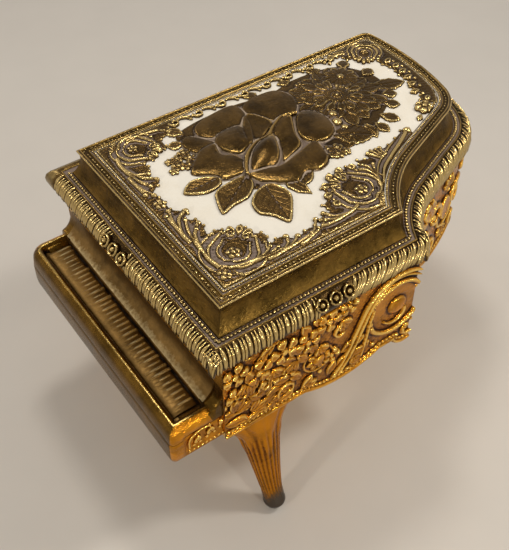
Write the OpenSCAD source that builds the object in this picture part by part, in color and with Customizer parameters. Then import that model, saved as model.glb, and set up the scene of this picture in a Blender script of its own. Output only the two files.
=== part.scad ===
// Musical trinket box in the form of a grand piano: a cast and gilded case on three splayed legs, a relief lid
// hinged along the bass side, a velvet compartment, and an eighteen-note comb movement wound from below.

/* [Lid outline] */
// Width of the lid rim, bass side to treble side
rim_w = 100; // [94:1:108]
// Straight length of the treble side, from the front edge to its corner
treble_len = 80; // [76:1:86]
// Radius of the hollow curve of the bentside
hollow_r = 32; // [30:1:36]
// Length of the straight run between the hollow and the shoulder
bent_run = 26; // [23:1:28]
// Radius of the shoulder, where the bentside turns into the tail
shoulder_r = 25; // [23:1:28]
// Radius of the shallow tail end
tail_r = 107; // [100:1:115]

/* [Lid section] */
// Height of the rim's widest line above the table
rim_z = 86; // [84:0.5:90]
// Depth of the rim below that line
rim_drop = 5; // [4.6:0.2:5.6]
// Height of the lid's top plate above that line
lid_rise = 10.2; // [9.6:0.2:12]
// Inset of the top plate from the rim
top_inset = 9.4; // [9:0.2:10.4]
// Thickness of the cast lid
lid_wall = 1.8; // [1.6:0.1:2]
// Spacing of the gadroons round the rim
gadroon_pitch = 1.9; // [1.8:0.1:2.6]
// Depth of the cuts between the gadroons
gadroon_depth = 0.6; // [0.3:0.05:0.7]
// Width of the moulded border on the top plate
border_w = 3.6; // [3.2:0.1:4]
// Height of that border
border_h = 0.8; // [0.6:0.1:1]
// Thickness of the cream enamel
enamel_t = 0.4; // [0.3:0.05:0.5]
// Height of the rose above the enamel
rose_rise = 3.4; // [3:0.1:5]

/* [Case] */
// Inset of the case wall from the lid rim
wall_inset = 2.8; // [2.7:0.1:3.2]
// Thickness of the cast wall
wall_t = 2; // [1.8:0.1:2.2]
// Height of the wall's lower edge above the table, between the scallops
apron_z = 45; // [43:0.5:45.5]
// Depth of the scallops below that edge
scallop = 3.7; // [2.5:0.1:4]
// Gap between the closed lid and the case
lid_gap = 0.2; // [0.2:0.05:0.4]
// Height of the bottom plate's underside above the table
floor_z = 47; // [46.5:0.5:48]
// Thickness of the bottom plate
floor_t = 1.2; // [1:0.1:1.4]
// Height of the relief on the case walls
relief_h = 1.2; // [0.8:0.1:1.4]

/* [Keyboard] */
// How far the key bed stands out in front of the lid
slip_out = 13.4; // [12:0.2:15]
// Height of the key bed's underside above the table
slip_z = 47; // [46.5:0.5:48.5]
// Height of the front rail above the key bed's underside
slip_h = 14.5; // [14:0.5:16]
// Radius of the front rail's rounded top
rail_r = 2.4; // [2:0.1:2.6]
// Distance of the fall board behind the lid's front edge
fall_y = 5; // [4.5:0.25:6]
// Thickness of each cheek at the ends of the keys
cheek_w = 6.5; // [6:0.5:8]
// Spacing of the keys
key_pitch = 2.1; // [2:0.05:2.4]
// Radius of the key bed's front corners
slip_corner_r = 6; // [4:0.5:6]

/* [Legs] */
// Distance of the front legs behind the lid's front edge
leg_y = 19.5; // [17:0.5:22]
// Distance of the tail leg from the bass side of the lid
tail_leg_x = 33; // [30:1:38]
// How far each front foot's centre stands outside the lid rim
foot_out = 3; // [2:0.25:4]
// Radius of the ball foot
foot_r = 3.9; // [3.5:0.1:4.2]
// Width of a leg where it meets the apron
leg_top_w = 19; // [17:0.5:20]
// Depth of a leg where it meets the apron
leg_top_d = 9; // [8:0.5:10]
// Radius of a leg's screw
leg_screw_r = 1.5; // [1.3:0.1:1.7]

/* [Lining] */
// Thickness of the velvet lining
velvet_t = 1.2; // [0.8:0.1:1.6]
// Gap between the partition and the movement's bed plate
bed_gap = 3; // [2.5:0.25:3.5]
// Thickness of the partition
partition_t = 2; // [1.6:0.1:2.4]

/* [Hinges] */
// Radius of the hinge knuckles
knuckle_r = 1.5; // [1.4:0.05:1.6]
// Radius of the hinge pins
pin_r = 0.6; // [0.5:0.05:0.7]
// Length of each hinge
hinge_len = 16; // [14:1:20]
// Running gap round a hinge pin
pin_gap = 0.04; // [0.03:0.01:0.06]
// Thickness of the hinge leaves
leaf_t = 0.8; // [0.6:0.1:0.9]

/* [Movement] */
// Length of the movement's bed plate
bed_l = 54; // [53:0.5:55]
// Width of the bed plate
bed_w = 40; // [39:0.5:41]
// Thickness of the bed plate
bed_t = 2.2; // [2:0.1:2.6]
// Height of the posts under the bed plate
post_h = 2; // [1.6:0.1:2.6]
// Radius of the spring barrel
barrel_r = 12.4; // [12:0.1:12.5]
// Height of the spring barrel
barrel_h = 9; // [8:0.25:10]
// Radius of the winding arbor
arbor_r = 1.6; // [1.5:0.05:1.8]
// Width of the winding key across its wings
key_span = 22; // [18:0.5:24]
// Radius of the pinned cylinder
drum_r = 5.6; // [5.2:0.1:5.8]
// Length of the pinned cylinder
drum_l = 19; // [18:0.5:19.5]
// Number of notes on the comb
notes = 18; // [16:1:18]
// Radius of the cylinder's shaft
shaft_r = 0.8; // [0.7:0.05:0.9]
// Running gap round the movement's shafts
shaft_gap = 0.05; // [0.04:0.01:0.08]

/* [Hidden] */
$fn = 48;
slack = 0.01;

gilt = "#a8862f";
antique = "#7d6a2e";
enamel = "#efe8d4";
velvet = "#7a1424";
steel = "#b9bcc0";
brass = "#c9a54a";

// ---- The piano outline ----
// It is walked anticlockwise from the bass front corner at [0, 0], with the tail towards +Y. A heading is the
// direction of travel in degrees, and every stretch after the treble side is an arc or a straight tangent to it.
corner_heading = 160;
hollow_turn = 48;
shoulder_turn = 54;
tail_turn = 26;
run_heading = corner_heading - hollow_turn;
tail_heading = run_heading + shoulder_turn;
end_heading = tail_heading + tail_turn;
least_corner_r = 3;
plain_end = 6;

function dir(a) = [cos(a), sin(a)];
function mix(a, b, t) = a + (b - a) * t;
function arc(c, r, from, to, n) = [for (i = [0:n - 1]) c + r * dir(mix(from, to, i / n))];
function line(a, b, n) = [for (i = [0:n - 1]) mix(a, b, i / n)];
function steps(length, step, least) = max(least, ceil(length / step));

hollow_c = [rim_w, treble_len] + hollow_r * dir(corner_heading - 90);
run_start = hollow_c + hollow_r * dir(run_heading + 90);
run_end = run_start + bent_run * dir(run_heading);
shoulder_c = run_end + shoulder_r * dir(run_heading + 90);
shoulder_end = shoulder_c + shoulder_r * dir(tail_heading - 90);
tail_c = shoulder_end + tail_r * dir(tail_heading + 90);
tail_end = tail_c + tail_r * dir(end_heading - 90);
end_r = tail_end[0] / (1 - cos(end_heading + 90));
rim_l = tail_c[1] + tail_r;

// Where the inset outline's hollow leaves its treble side, and where its tail meets the bass corner
function hollow_from(d) = 360 - acos((rim_w - d - hollow_c[0]) / (hollow_r + d));
function end_corner_r(d) = max(end_r - d, least_corner_r);
function end_from(d) = acos((d + end_corner_r(d) - tail_c[0]) / (tail_r - d - end_corner_r(d)));
function end_corner_c(d) = tail_c + (tail_r - d - end_corner_r(d)) * dir(end_from(d));

// The outline inset by d, with points no more than step apart on its long stretches
function outline(d, step = 1000) = concat(
    line([d, d], [rim_w - d, d], steps(rim_w, step, 1)),
    line([rim_w - d, d], hollow_c + (hollow_r + d) * dir(hollow_from(d)), steps(treble_len, step, 1)),
    arc(hollow_c, hollow_r + d, hollow_from(d), run_heading + 90, steps(arc_len(hollow_r, hollow_turn), step, 9)),
    line(
        hollow_c + (hollow_r + d) * dir(run_heading + 90),
        shoulder_c + (shoulder_r - d) * dir(run_heading - 90),
        steps(bent_run, step, 1)
    ),
    arc(
        shoulder_c, shoulder_r - d, run_heading - 90, tail_heading - 90,
        steps(arc_len(shoulder_r, shoulder_turn), step, 9)
    ),
    arc(tail_c, tail_r - d, tail_heading - 90, end_from(d), steps(arc_len(tail_r, tail_turn), step, 8)),
    arc(end_corner_c(d), end_corner_r(d), end_from(d), 180, steps(end_r, step, 7)),
    [[d, end_corner_c(d)[1]]]
);
function arc_len(r, turn) = r * turn * PI / 180;

// ---- Heights and places ----
mid_y = (rim_l - slip_out) / 2;
lid_z = rim_z - rim_drop;
plate_z = rim_z + lid_rise;
enamel_z = plate_z + enamel_t;
case_top = lid_z - lid_gap;
inner_inset = wall_inset + wall_t;
floor_top = floor_z + floor_t;
inner_front = fall_y + wall_t;
bed_at = [8.5, rim_l - bed_w - 13];
partition_y = bed_at[1] - bed_gap - partition_t;

module at_origin() {
    translate([-rim_w / 2, -mid_y, 0])
        children();
}

// ---- Shared shapes ----
// A solid skinned over closed rings of points, each listed anticlockwise as seen from above, lowest first
module loft(rings) {
    n = len(rings[0]);
    last = len(rings) - 1;
    sides = [
        for (i = [0:last - 1], j = [0:n - 1])
            let (k = (j + 1) % n)
            each [
                [i * n + j, (i + 1) * n + j, (i + 1) * n + k],
                [i * n + j, (i + 1) * n + k, i * n + k]
            ]
    ];
    polyhedron(
        points = [for (ring = rings) each ring],
        faces = concat([[for (j = [0:n - 1]) j]], sides, [[for (j = [n - 1:-1:0]) last * n + j]])
    );
}

function ring_at(points, z) = [for (p = points) [p[0], p[1], z]];

module plan_slab(inset, z, h) {
    translate([0, 0, z])
        linear_extrude(h)
            polygon(outline(inset));
}

// The part of the plan behind a line across the case, and the part in front of it
module behind(y) {
    intersection() {
        children();
        translate([-rim_w, y, 0])
            cube([3 * rim_w, 2 * rim_l, 2 * rim_z]);
    }
}

module before(y) {
    intersection() {
        children();
        translate([-rim_w, y - 2 * rim_l, 0])
            cube([3 * rim_w, 2 * rim_l, 2 * rim_z]);
    }
}

// A dome, flat below, and a half-round bar bent to an arc with a dome on each end
module dome(r) {
    rotate_extrude()
        intersection() {
            circle(r);
            square(r);
        }
}

module half_round(r) {
    intersection() {
        circle(r);
        translate([-r, 0])
            square([2 * r, r]);
    }
}

module scroll(r, from, sweep, bar) {
    ball = 1.5;
    rotate(from)
        rotate_extrude(angle = sweep)
            translate([r, 0])
                half_round(bar);
    for (a = [from, from + sweep])
        translate(concat(r * dir(a), [0]))
            dome(ball * bar);
}

// A screw standing on its tip, with its head's underside at the height l
module screw(r, l, head_r, head_h) {
    slot_w = 0.5;
    difference() {
        union() {
            cylinder(r = r, h = l + slack);
            translate([0, 0, l])
                cylinder(r = head_r, h = head_h);
        }
        translate([-head_r, -slot_w / 2, l + head_h / 2])
            cube([2 * head_r, slot_w, head_h]);
    }
}

// ---- Lid ----
gadroon_foot = 1.6;
gadroon_top_inset = 4.2;
gadroon_top_z = rim_z + 0.9;
cove_foot = 7.2;
cove_depth = 0.5;
seat_gap = 0.05;

// The cove between the rim and the top plate, as [inset, height] from its foot to its lip
cove_rise = lid_rise - 1.8;
function cove(t) = [
    mix(cove_foot, top_inset + cove_depth, sin(90 * t)) - cove_depth * pow(t, 6),
    gadroon_top_z + 0.3 + cove_rise * pow(t, 1.15)
];
shell_section = concat(
    [[gadroon_foot, lid_z], [gadroon_foot, lid_z + 1.2], [gadroon_top_inset, gadroon_top_z]],
    [for (i = [0:6]) cove(i / 6)],
    [[top_inset, plate_z]]
);
cavity_inset = top_inset + cove_depth + lid_wall;
cavity_top = plate_z - lid_wall;
flange = inner_inset + 0.6;

module lid_shell() {
    color(antique)
        at_origin()
            difference() {
                loft([for (s = shell_section) ring_at(outline(s[0]), s[1])]);
                loft([
                    ring_at(outline(flange), lid_z - slack),
                    ring_at(outline(flange), lid_z + lid_wall),
                    ring_at(outline(cavity_inset), gadroon_top_z + lid_wall),
                    ring_at(outline(cavity_inset), cavity_top)
                ]);
                for (y = hinge_ys)
                    translate([0, y - hinge_len / 2, lid_z - slack])
                        cube([leaf_reach, hinge_len, leaf_t + slack]);
            }
}

// The gadroons are a wave cut into the rim: two stations of every three stand out, and the wave leans away from
// the treble front corner towards the foot of the rim. The bass side stays plain.
waves_front = round(rim_w / gadroon_pitch);
rib_step = rim_w / waves_front / 3;
rim_line = outline(0, rib_step);
function on_bass(p) = p[0] < plain_end;
function rib(i, lean) =
    let (p = rim_line[i], side = i < 3 * waves_front ? 1 : -1)
    on_bass(p) ? 0 : ((i + side * lean + 300) % 3 == 0 ? gadroon_depth : 0);
function border_ring(inset, z, lean, wave) =
    let (crest = outline(inset, rib_step), root = outline(inset + 1, rib_step))
    [
        for (i = [0:len(crest) - 1])
            let (p = mix(crest[i], root[i], wave * rib(i, lean)))
            [p[0], p[1], z]
    ];

module lid_gadroon_border() {
    rings = [
        border_ring(gadroon_foot - seat_gap, lid_z + 0.2, 0, 0),
        border_ring(0.3, lid_z + 0.2, 2, 1),
        border_ring(0, lid_z + 2.4, 2, 1),
        border_ring(1.4, rim_z, 1, 1),
        border_ring(gadroon_top_inset - 0.4, gadroon_top_z + 0.5, 0, 0),
        border_ring(gadroon_foot - seat_gap, lid_z + 1.2 + seat_gap, 0, 0)
    ];
    n = len(rings[0]);
    m = len(rings);
    color(antique)
        at_origin()
            polyhedron(
                points = [for (ring = rings) each ring],
                faces = [
                    for (i = [0:m - 1], j = [0:n - 1])
                        let (k = (j + 1) % n, up = (i + 1) % m)
                        each [
                            [i * n + j, up * n + j, up * n + k],
                            [i * n + j, up * n + k, i * n + k]
                        ]
                ]
            );
}

// A raised border round the top plate: a flat band between two fillets
fillet_w = 0.7;

module lid_top_border() {
    color(antique)
        at_origin() {
            difference() {
                plan_slab(top_inset, plate_z, border_h);
                plan_slab(top_inset + fillet_w, plate_z + border_h / 2, border_h);
                plan_slab(top_inset + border_w, plate_z - slack, border_h);
            }
            difference() {
                plan_slab(top_inset + border_w - fillet_w, plate_z, border_h);
                plan_slab(top_inset + border_w, plate_z - slack, border_h + 2 * slack);
            }
        }
}

module lid_enamel() {
    color(enamel)
        at_origin()
            plan_slab(top_inset + border_w, plate_z, enamel_t);
}

// Corner scrolls, each an S or a C of half-round bar with a ball at each end
bar = 0.8;

module cartouche(size) {
    for (side = [-1, 1]) {
        translate([side * size * 0.45, 0])
            scroll(size * 0.5, side > 0 ? -120 : 60, 240, bar);
        translate([side * size * 0.9, size * 0.95])
            scroll(size * 0.4, side > 0 ? 150 : -150, 180, bar);
    }
    dome(2.2 * bar);
}

// The scrolls' ground: thin plates that run in from the border with a lobed inner edge
ground_t = 0.45;
front_ground = [
    [13, 13], [87, 13], [87, 50], [82.5, 51], [80, 46], [81.5, 41], [79, 36], [75.5, 35.5], [71, 32], [68.5, 29],
    [66.5, 23], [60, 22], [54, 21.5], [51, 18.5], [45, 19], [42, 18], [38, 22], [31, 22], [28, 26], [26, 30],
    [22, 33], [19, 37], [16, 40], [13, 42]
];
treble_ground = [
    [88, 53], [88, 72], [82, 76], [70, 94], [65, 102], [61.8, 100.5], [63.5, 94], [66, 87], [64.5, 82], [68, 78],
    [65, 73.5], [66, 66], [70.5, 61.5], [76, 58], [79, 52]
];
tail_ground = [
    [12, 108], [18.5, 108], [24, 112.5], [27, 119], [34, 121], [44, 121.5], [51, 122], [48, 128], [12, 128]
];

module scroll_grounds() {
    linear_extrude(ground_t)
        intersection() {
            polygon(outline(top_inset + border_w + 0.1));
            union() {
                polygon(front_ground);
                polygon(treble_ground);
                polygon(tail_ground);
                for (y = [43:6:106])
                    translate([top_inset + border_w + 0.5, y])
                        circle(2.6);
                translate([57, 114])
                    circle(3.2);
            }
        }
}

module corner_scrolls() {
    sizes = [7, 6, 6.5, 5];
    places = [[77, 23, 45], [19, 24, -45], [76, 69, 135], [21, 117.5, -150]];
    color(antique)
        at_origin()
            translate([0, 0, enamel_z]) {
                scroll_grounds();
                for (i = [0:3])
                    translate([places[i][0], places[i][1]])
                        rotate(places[i][2])
                            cartouche(sizes[i]);
                for (x = [35, 47, 59])
                    translate([x, 17])
                        scroll(2.4, 20, 200, bar);
                for (y = [38, 47])
                    translate([83.5, y])
                        scroll(2, 100, 200, bar);
                // the rib that follows the bentside
                translate(hollow_c)
                    scroll(hollow_r + 16.2, 191, 22, 1.3);
            }
}

// A petal or leaf: a pointed, crowned blade whose root is at the origin and whose tip lies at +X. It stands on
// the ground from its root height to its tip height, with its edges lower by the crown and a groove down it.
blade_rows = 5;
blade_cols = 3;
function blade_half(u, wide, point) = wide / 2 * max(0.08, pow(sin(180 * pow(u, point)), 0.75));

module blade(len, wide, root, tip, crown, point, groove) {
    across = 2 * blade_cols;
    top = [
        for (i = [0:blade_rows], j = [-blade_cols:blade_cols])
            let (u = i / blade_rows, s = j / blade_cols)
            [
                len * u,
                s * blade_half(u, wide, point),
                max(0.3, mix(root, tip, u) + crown * (1 - s * s) * sin(180 * u) - (j == 0 ? groove : 0))
            ]
    ];
    base = [for (p = top) [p[0], p[1], 0]];
    n = across + 1;
    count = len(top);
    rim = concat(
        [for (j = [0:across - 1]) j],
        [for (i = [0:blade_rows - 1]) i * n + across],
        [for (j = [across:-1:1]) blade_rows * n + j],
        [for (i = [blade_rows:-1:1]) i * n]
    );
    polyhedron(
        points = concat(top, base),
        faces = concat(
            [
                for (i = [0:blade_rows - 1], j = [0:across - 1])
                    let (a = i * n + j, b = a + n)
                    each [[a, a + 1, b + 1], [a, b + 1, b]]
            ],
            [
                for (k = [0:len(rim) - 1])
                    let (a = rim[k], b = rim[(k + 1) % len(rim)])
                    each [[b, a, count + a], [b, count + a, count + b]]
            ],
            [[for (k = [len(rim) - 1:-1:0]) count + rim[k]]]
        )
    );
}

rose_at = [42, 57];
rose_reach = 21;
daisy_at = [36, 94];
daisy_reach = 15.5;

module flower(rings, crown, point, groove) {
    for (ring = rings, i = [0:ring[0] - 1])
        rotate(ring[1] + 360 * i / ring[0])
            translate([ring[2], 0])
                blade(ring[3] - ring[2], ring[4], ring[5], ring[6], crown, point, groove);
}

// Rings of petals: [count, first angle, root radius, tip radius, width, root height, tip height]
module rose_bloom() {
    rings = [
        [5, 10, 4, rose_reach, 19, 1.4, rose_rise * 0.45],
        [4, 35, 3, 14, 15, 1.8, rose_rise * 0.7]
    ];
    bud_r = 5.5;
    color(antique)
        at_origin()
            translate([rose_at[0], rose_at[1], enamel_z]) {
                flower(rings, 0.8, 1.6, 0);
                cylinder(r = bud_r, h = rose_rise * 0.85);
                rotate_extrude()
                    polygon([
                        [0, 0], [bud_r - 1, 0], [bud_r - 1, rose_rise * 0.85], [1.5, rose_rise], [0, rose_rise]
                    ]);
            }
}

module daisy_bloom() {
    rings = [[12, 0, 4, daisy_reach, 6.5, 0.8, 0.6], [9, 20, 2, 9, 5, 1.3, 1.1]];
    button_r = 3;
    color(antique)
        at_origin()
            translate([daisy_at[0], daisy_at[1], enamel_z]) {
                flower(rings, 0.5, 1.3, 0.15);
                dome(button_r);
            }
}

// The leaves round the two flowers: [root x, root y, heading, length, width]
module leaf_spray() {
    leaves = [
        [52, 43, -52, 17, 9], [60, 47, -10, 17, 10], [44, 39, -75, 12, 7], [64, 57, 8, 8, 6],
        [31, 40, -130, 9, 6], [24, 52, 190, 7, 6], [58, 77, 20, 7, 6], [55, 90, 25, 9, 6],
        [53, 98, 35, 8, 6], [41, 110, 75, 9, 6], [25, 103, 155, 6, 6], [24, 78, 170, 5, 5]
    ];
    color(antique)
        at_origin()
            difference() {
                for (leaf = leaves)
                    translate([leaf[0], leaf[1], enamel_z])
                        rotate(leaf[2])
                            blade(leaf[3], leaf[4], 1, 0.6, 0.7, 0.8, 0.3);
                for (clear = [concat(rose_at, rose_reach), concat(daisy_at, daisy_reach)])
                    translate([clear[0], clear[1], 0])
                        cylinder(r = clear[2] + 0.3, h = 2 * rim_z);
            }
}

module lid_lining() {
    color(velvet)
        at_origin()
            plan_slab(cavity_inset + 0.2, cavity_top - velvet_t, velvet_t);
}

// ---- Case ----
boss_r = 3;
boss_h = 5;
plate_screw_r = 0.9;
plate_gap = 0.15;
bosses = [
    [inner_inset + boss_r - 0.5, inner_front + boss_r - 0.5],
    [rim_w - inner_inset - boss_r + 0.5, inner_front + boss_r - 0.5],
    [rim_w - inner_inset - boss_r + 0.5, treble_len - 9],
    [inner_inset + boss_r + 0.7, rim_l - 9.1],
    [rim_w / 2, rim_l - 9.1]
];

module bass_boss(p, z, h) {
    translate([p[0], p[1], z])
        cylinder(r = boss_r, h = h);
}

// The region below the scalloped apron, seen from the side: lobes hang below the apron line
module below_apron() {
    lobes = [[50, 15], [76, 5], [111, 12]];
    difference() {
        translate([-rim_l, -rim_z])
            square([3 * rim_l, rim_z + apron_z]);
        for (lobe = lobes)
            let (w = lobe[1], r = (w * w + scallop * scallop) / (2 * scallop))
            translate([lobe[0], apron_z - scallop + r])
                circle(r, $fn = 96);
    }
}

module case_wall(inset, z, h) {
    behind(fall_y + inset - wall_inset)
        plan_slab(inset, z, h);
}

module case_shell() {
    foot = apron_z - scallop;
    color(gilt)
        at_origin()
            difference() {
                union() {
                    difference() {
                        case_wall(wall_inset, foot, case_top - foot);
                        case_wall(inner_inset, foot - slack, case_top);
                        translate([-rim_w, 0, 0])
                            rotate([90, 0, 90])
                                linear_extrude(3 * rim_w)
                                    below_apron();
                    }
                    intersection() {
                        case_wall(wall_inset + wall_t / 2, floor_top, boss_h);
                        for (p = bosses)
                            bass_boss(p, floor_top, boss_h);
                    }
                    // ledges that carry the cover over the movement
                    intersection() {
                        case_wall(wall_inset + wall_t / 2, cover_z - ledge_h, ledge_h);
                        for (p = ledges)
                            translate([p[0], p[1], 0])
                                cylinder(r = 4, h = rim_z);
                    }
                }
                for (p = bosses)
                    translate([p[0], p[1], floor_top - slack])
                        cylinder(r = plate_screw_r, h = boss_h - 1);
            }
}

ledge_h = 2;
cover_t = 1.5;
cover_z = case_top - 4;
ledges = [
    [inner_inset, rim_l - 40], [inner_inset, rim_l - 15], [40, rim_l - inner_inset], [rim_w - 29, rim_l - 28]
];

// A flower of round petals about a domed middle
module rosette(r) {
    petals = 6;
    dome(r * 0.42);
    for (i = [0:petals - 1])
        translate(concat(0.62 * r * dir(360 * i / petals), [0]))
            dome(r * 0.38);
}

// Relief on the treble and bass walls: a large C-scroll at the corner, an S-curved band, curls and flowers.
// Each scroll: [y, height over the rim, radius, start, sweep, bar], and each flower: [y, height over the rim, r]
wall_scrolls = [
    [69, -25, 9, 120, -280, 1.1], [75.5, -38, 3, 60, -230, 0.9], [56, -16, 7, 20, 130, 1],
    [47, -35.5, 5.5, 250, 150, 1], [24.5, -33, 4.6, 200, -300, 1], [12.5, -32, 4.4, -20, 300, 1],
    [57, -36, 3.2, 130, -250, 0.8], [50, -10, 2.4, 40, 260, 0.7]
];
wall_flowers = [
    [35.5, -27, 5], [9.5, -13, 3.6], [18, -18, 4], [27, -13, 3.8], [36, -15, 3.4], [43.5, -11, 3], [69, -25, 4]
];

module wall_ornament() {
    for (s = wall_scrolls)
        translate([s[0], rim_z + s[1]])
            scroll(s[2], s[3], s[4], s[5]);
    for (f = wall_flowers)
        translate([f[0], rim_z + f[1]])
            rosette(f[2]);
}

// The wall ornament cut flat at its crests and at a height
module flattened_ornament(top) {
    intersection() {
        wall_ornament();
        cube([treble_len, top, relief_h]);
    }
}

module case_relief() {
    color(gilt)
        at_origin() {
            translate([rim_w - wall_inset, 0, 0])
                rotate([90, 0, 90])
                    flattened_ornament(case_top - 1);
            translate([wall_inset, 0, 0])
                mirror([1, 0, 0])
                    rotate([90, 0, 90])
                        flattened_ornament(bass_relief_top);
            // a pair of scrolls that face each other along the bentside's straight run
            for (s = [[0.28, 60], [0.72, -120]])
                let (p = mix(run_start, run_end, s[0]) + wall_inset * dir(run_heading + 90))
                translate([p[0], p[1], rim_z - 22])
                    rotate([90, 0, run_heading])
                        scroll(5, s[1], 240, 0.9);
            // flowers round the tail, each flat on the wall
            for (a = [tail_heading - 90 + 4:6:tail_heading - 90 + 22], z = [rim_z - 13, rim_z - 31])
                let (p = tail_c + (tail_r - wall_inset) * dir(a))
                translate([p[0], p[1], z])
                    rotate([90, 0, a + 90])
                        rosette(4);
        }
}
bass_relief_top = rim_z - 16.5;

// The key bed: a tray with a rounded front rail and cheeks, hollow below, with a ledge behind the keys that
// sweeps up to the fall board. Its section is drawn in Y and Z and extruded across the case.
bed_inset = wall_inset;
rail_z = slip_z + slip_h;
tray_z = rail_z - 2.6;
ledge_y = -2;
ledge_z = rail_z + 0.6;
sweep_r = 7;

module bed_section(top_front) {
    polygon(concat(
        [[fall_y, slip_z], [-slip_out, slip_z]],
        arc([-slip_out + rail_r, rail_z - rail_r], rail_r, 180, 90, 6),
        [[-slip_out + 2 * rail_r, rail_z]],
        top_front,
        arc([fall_y - sweep_r, ledge_z + sweep_r], sweep_r, 270 + 20, 360, 6),
        [[fall_y, ledge_z + sweep_r]]
    ));
}

module bed_plan(inset) {
    r = slip_corner_r;
    translate([0, 0, slip_z - slack])
        linear_extrude(rim_z) {
            translate([inset, -slip_out + r])
                square([rim_w - 2 * inset, slip_out + fall_y]);
            translate([inset + r, -slip_out + inset - bed_inset])
                square([rim_w - 2 * inset - 2 * r, r + 1]);
            for (x = [inset + r, rim_w - inset - r])
                translate([x, -slip_out + r + inset - bed_inset])
                    circle(r);
        }
}

module across(from, width) {
    translate([from, 0, 0])
        rotate([90, 0, 90])
            linear_extrude(width)
                children();
}

module key_bed() {
    wall = 2;
    color(gilt)
        at_origin()
            difference() {
                intersection() {
                    bed_plan(bed_inset);
                    union() {
                        across(bed_inset, rim_w - 2 * bed_inset)
                            bed_section([
                                [-slip_out + 2 * rail_r + 0.6, tray_z], [ledge_y, tray_z], [ledge_y, ledge_z]
                            ]);
                        for (x = [bed_inset, rim_w - bed_inset - cheek_w])
                            across(x, cheek_w)
                                bed_section([[ledge_y, rail_z], [ledge_y + 1, ledge_z]]);
                    }
                }
                translate([bed_inset + wall, -slip_out + wall + 0.6, slip_z - slack])
                    cube([rim_w - 2 * (bed_inset + wall), slip_out + fall_y - 2 * wall, tray_z - slip_z - wall]);
            }
}

// The keyboard is one cast strip with its keys as ridges
module keyboard() {
    strip_h = 0.8;
    ridge_h = 0.9;
    gap = 0.5;
    fit = 0.1;
    x0 = bed_inset + cheek_w + fit;
    w = rim_w - 2 * x0;
    front = -slip_out + 2 * rail_r + 0.6 + fit;
    depth = ledge_y - fit - front;
    count = floor(w / key_pitch);
    color(antique)
        at_origin()
            translate([x0, front, tray_z]) {
                cube([w, depth, strip_h]);
                for (i = [0:count - 1])
                    translate([(w - count * key_pitch) / 2 + i * key_pitch, depth * 0.3, strip_h - slack])
                        cube([key_pitch - gap, depth * 0.7, ridge_h]);
            }
}

// ---- Bottom ----
key_hole_r = arbor_r + 0.6;
barrel_at = bed_at + [14, 14];

module bottom_plate() {
    color(gilt)
        at_origin()
            difference() {
                case_wall(inner_inset + plate_gap, floor_z, floor_t);
                for (p = bosses)
                    translate([p[0], p[1], 0])
                        cylinder(r = plate_screw_r + 0.15, h = rim_z);
                for (leg = legs)
                    translate([leg[0], leg[1], 0])
                        cylinder(r = leg_screw_r + 0.15, h = rim_z);
                for (p = posts)
                    translate([bed_at[0] + p[0], bed_at[1] + p[1], 0])
                        cylinder(r = post_screw_r + 0.15, h = rim_z);
                translate([barrel_at[0], barrel_at[1], 0])
                    cylinder(r = key_hole_r, h = rim_z);
            }
}

module bottom_plate_screws() {
    head_r = 1.7;
    head_h = 0.9;
    color(steel)
        at_origin()
            for (p = bosses)
                translate([p[0], p[1], floor_z])
                    mirror([0, 0, 1])
                        translate([0, 0, -floor_t - boss_h + 1.5])
                            screw(plate_screw_r - 0.05, floor_t + boss_h - 1.5, head_r, head_h);
}

// ---- Legs ----
// Each leg: [screw x, screw y, direction of splay]
leg_in = wall_inset + leg_top_d / 2 + 0.8;
tenon = leg_in - inner_inset - 0.2;
legs = [
    [leg_in, leg_y, 180],
    [rim_w - leg_in, leg_y, 0],
    [tail_leg_x, rim_l - leg_in - 0.7, 90]
];

// A fluted taper from the apron down to a rounded foot, which leans out along +X, with a tenon above
module leg(reach) {
    rings = 9;
    around = 24;
    flute = 0.6;
    sole = 0.3;
    ankle_r = foot_r - 0.25;
    ankle_z = foot_r + 0.5;
    head_in = leg_in - wall_inset - leg_top_d / 2;
    shoulder = 2.2;
    lean = 0.8;
    function ring(t) =
        let (
            half_w = mix(ankle_r, leg_top_w / 2, pow(t, shoulder)),
            half_d = mix(ankle_r, leg_top_d / 2, t),
            cx = mix(reach, head_in, pow(t, lean))
        )
        [
            for (i = [0:around - 1])
                let (a = 360 * i / around, f = 1 - (i % 2) * flute * t / half_w)
                [cx + half_d * f * cos(a), half_w * f * sin(a), mix(ankle_z, apron_z, t)]
        ];
    loft([for (i = [0:rings - 1]) ring(i / (rings - 1))]);
    translate([reach, 0, foot_r])
        rotate_extrude()
            intersection() {
                circle(foot_r);
                translate([0, sole - foot_r])
                    square([foot_r, 2 * foot_r]);
            }
    translate([reach, 0, 0])
        cylinder(r = foot_r * 0.6, h = foot_r);
    translate([reach, 0, foot_r])
        cylinder(r = ankle_r, h = ankle_z - foot_r + sole);
    difference() {
        translate([-tenon, -leg_top_w / 2 + 1.6, apron_z - slack])
            cube([2 * tenon, leg_top_w - 3.2, floor_z - apron_z + slack]);
        translate([0, 0, apron_z + slack])
            cylinder(r = leg_screw_r - 0.1, h = rim_z);
    }
}

module leg_at(i) {
    reach = leg_in + foot_out;
    tail_reach = leg_in - foot_r;
    color(gilt)
        at_origin()
            translate([legs[i][0], legs[i][1], 0])
                rotate(legs[i][2])
                    leg(i == 2 ? tail_reach : reach);
}

module leg_bass() {
    leg_at(0);
}

module leg_treble() {
    leg_at(1);
}

module leg_tail() {
    leg_at(2);
}

module leg_screws() {
    color(steel)
        at_origin()
            for (leg = legs)
                translate([leg[0], leg[1], floor_z - 1.5])
                    screw(leg_screw_r - 0.15, floor_t + 1.5, 2.6, 1.2);
}

// ---- Lining and partition ----
pad_z = floor_top + boss_h + 0.1;
pad_t = 1.7;

module velvet_floor() {
    color(velvet)
        at_origin()
            before(partition_y - 0.2)
                case_wall(inner_inset + velvet_t + 0.3, pad_z, pad_t);
}

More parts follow.
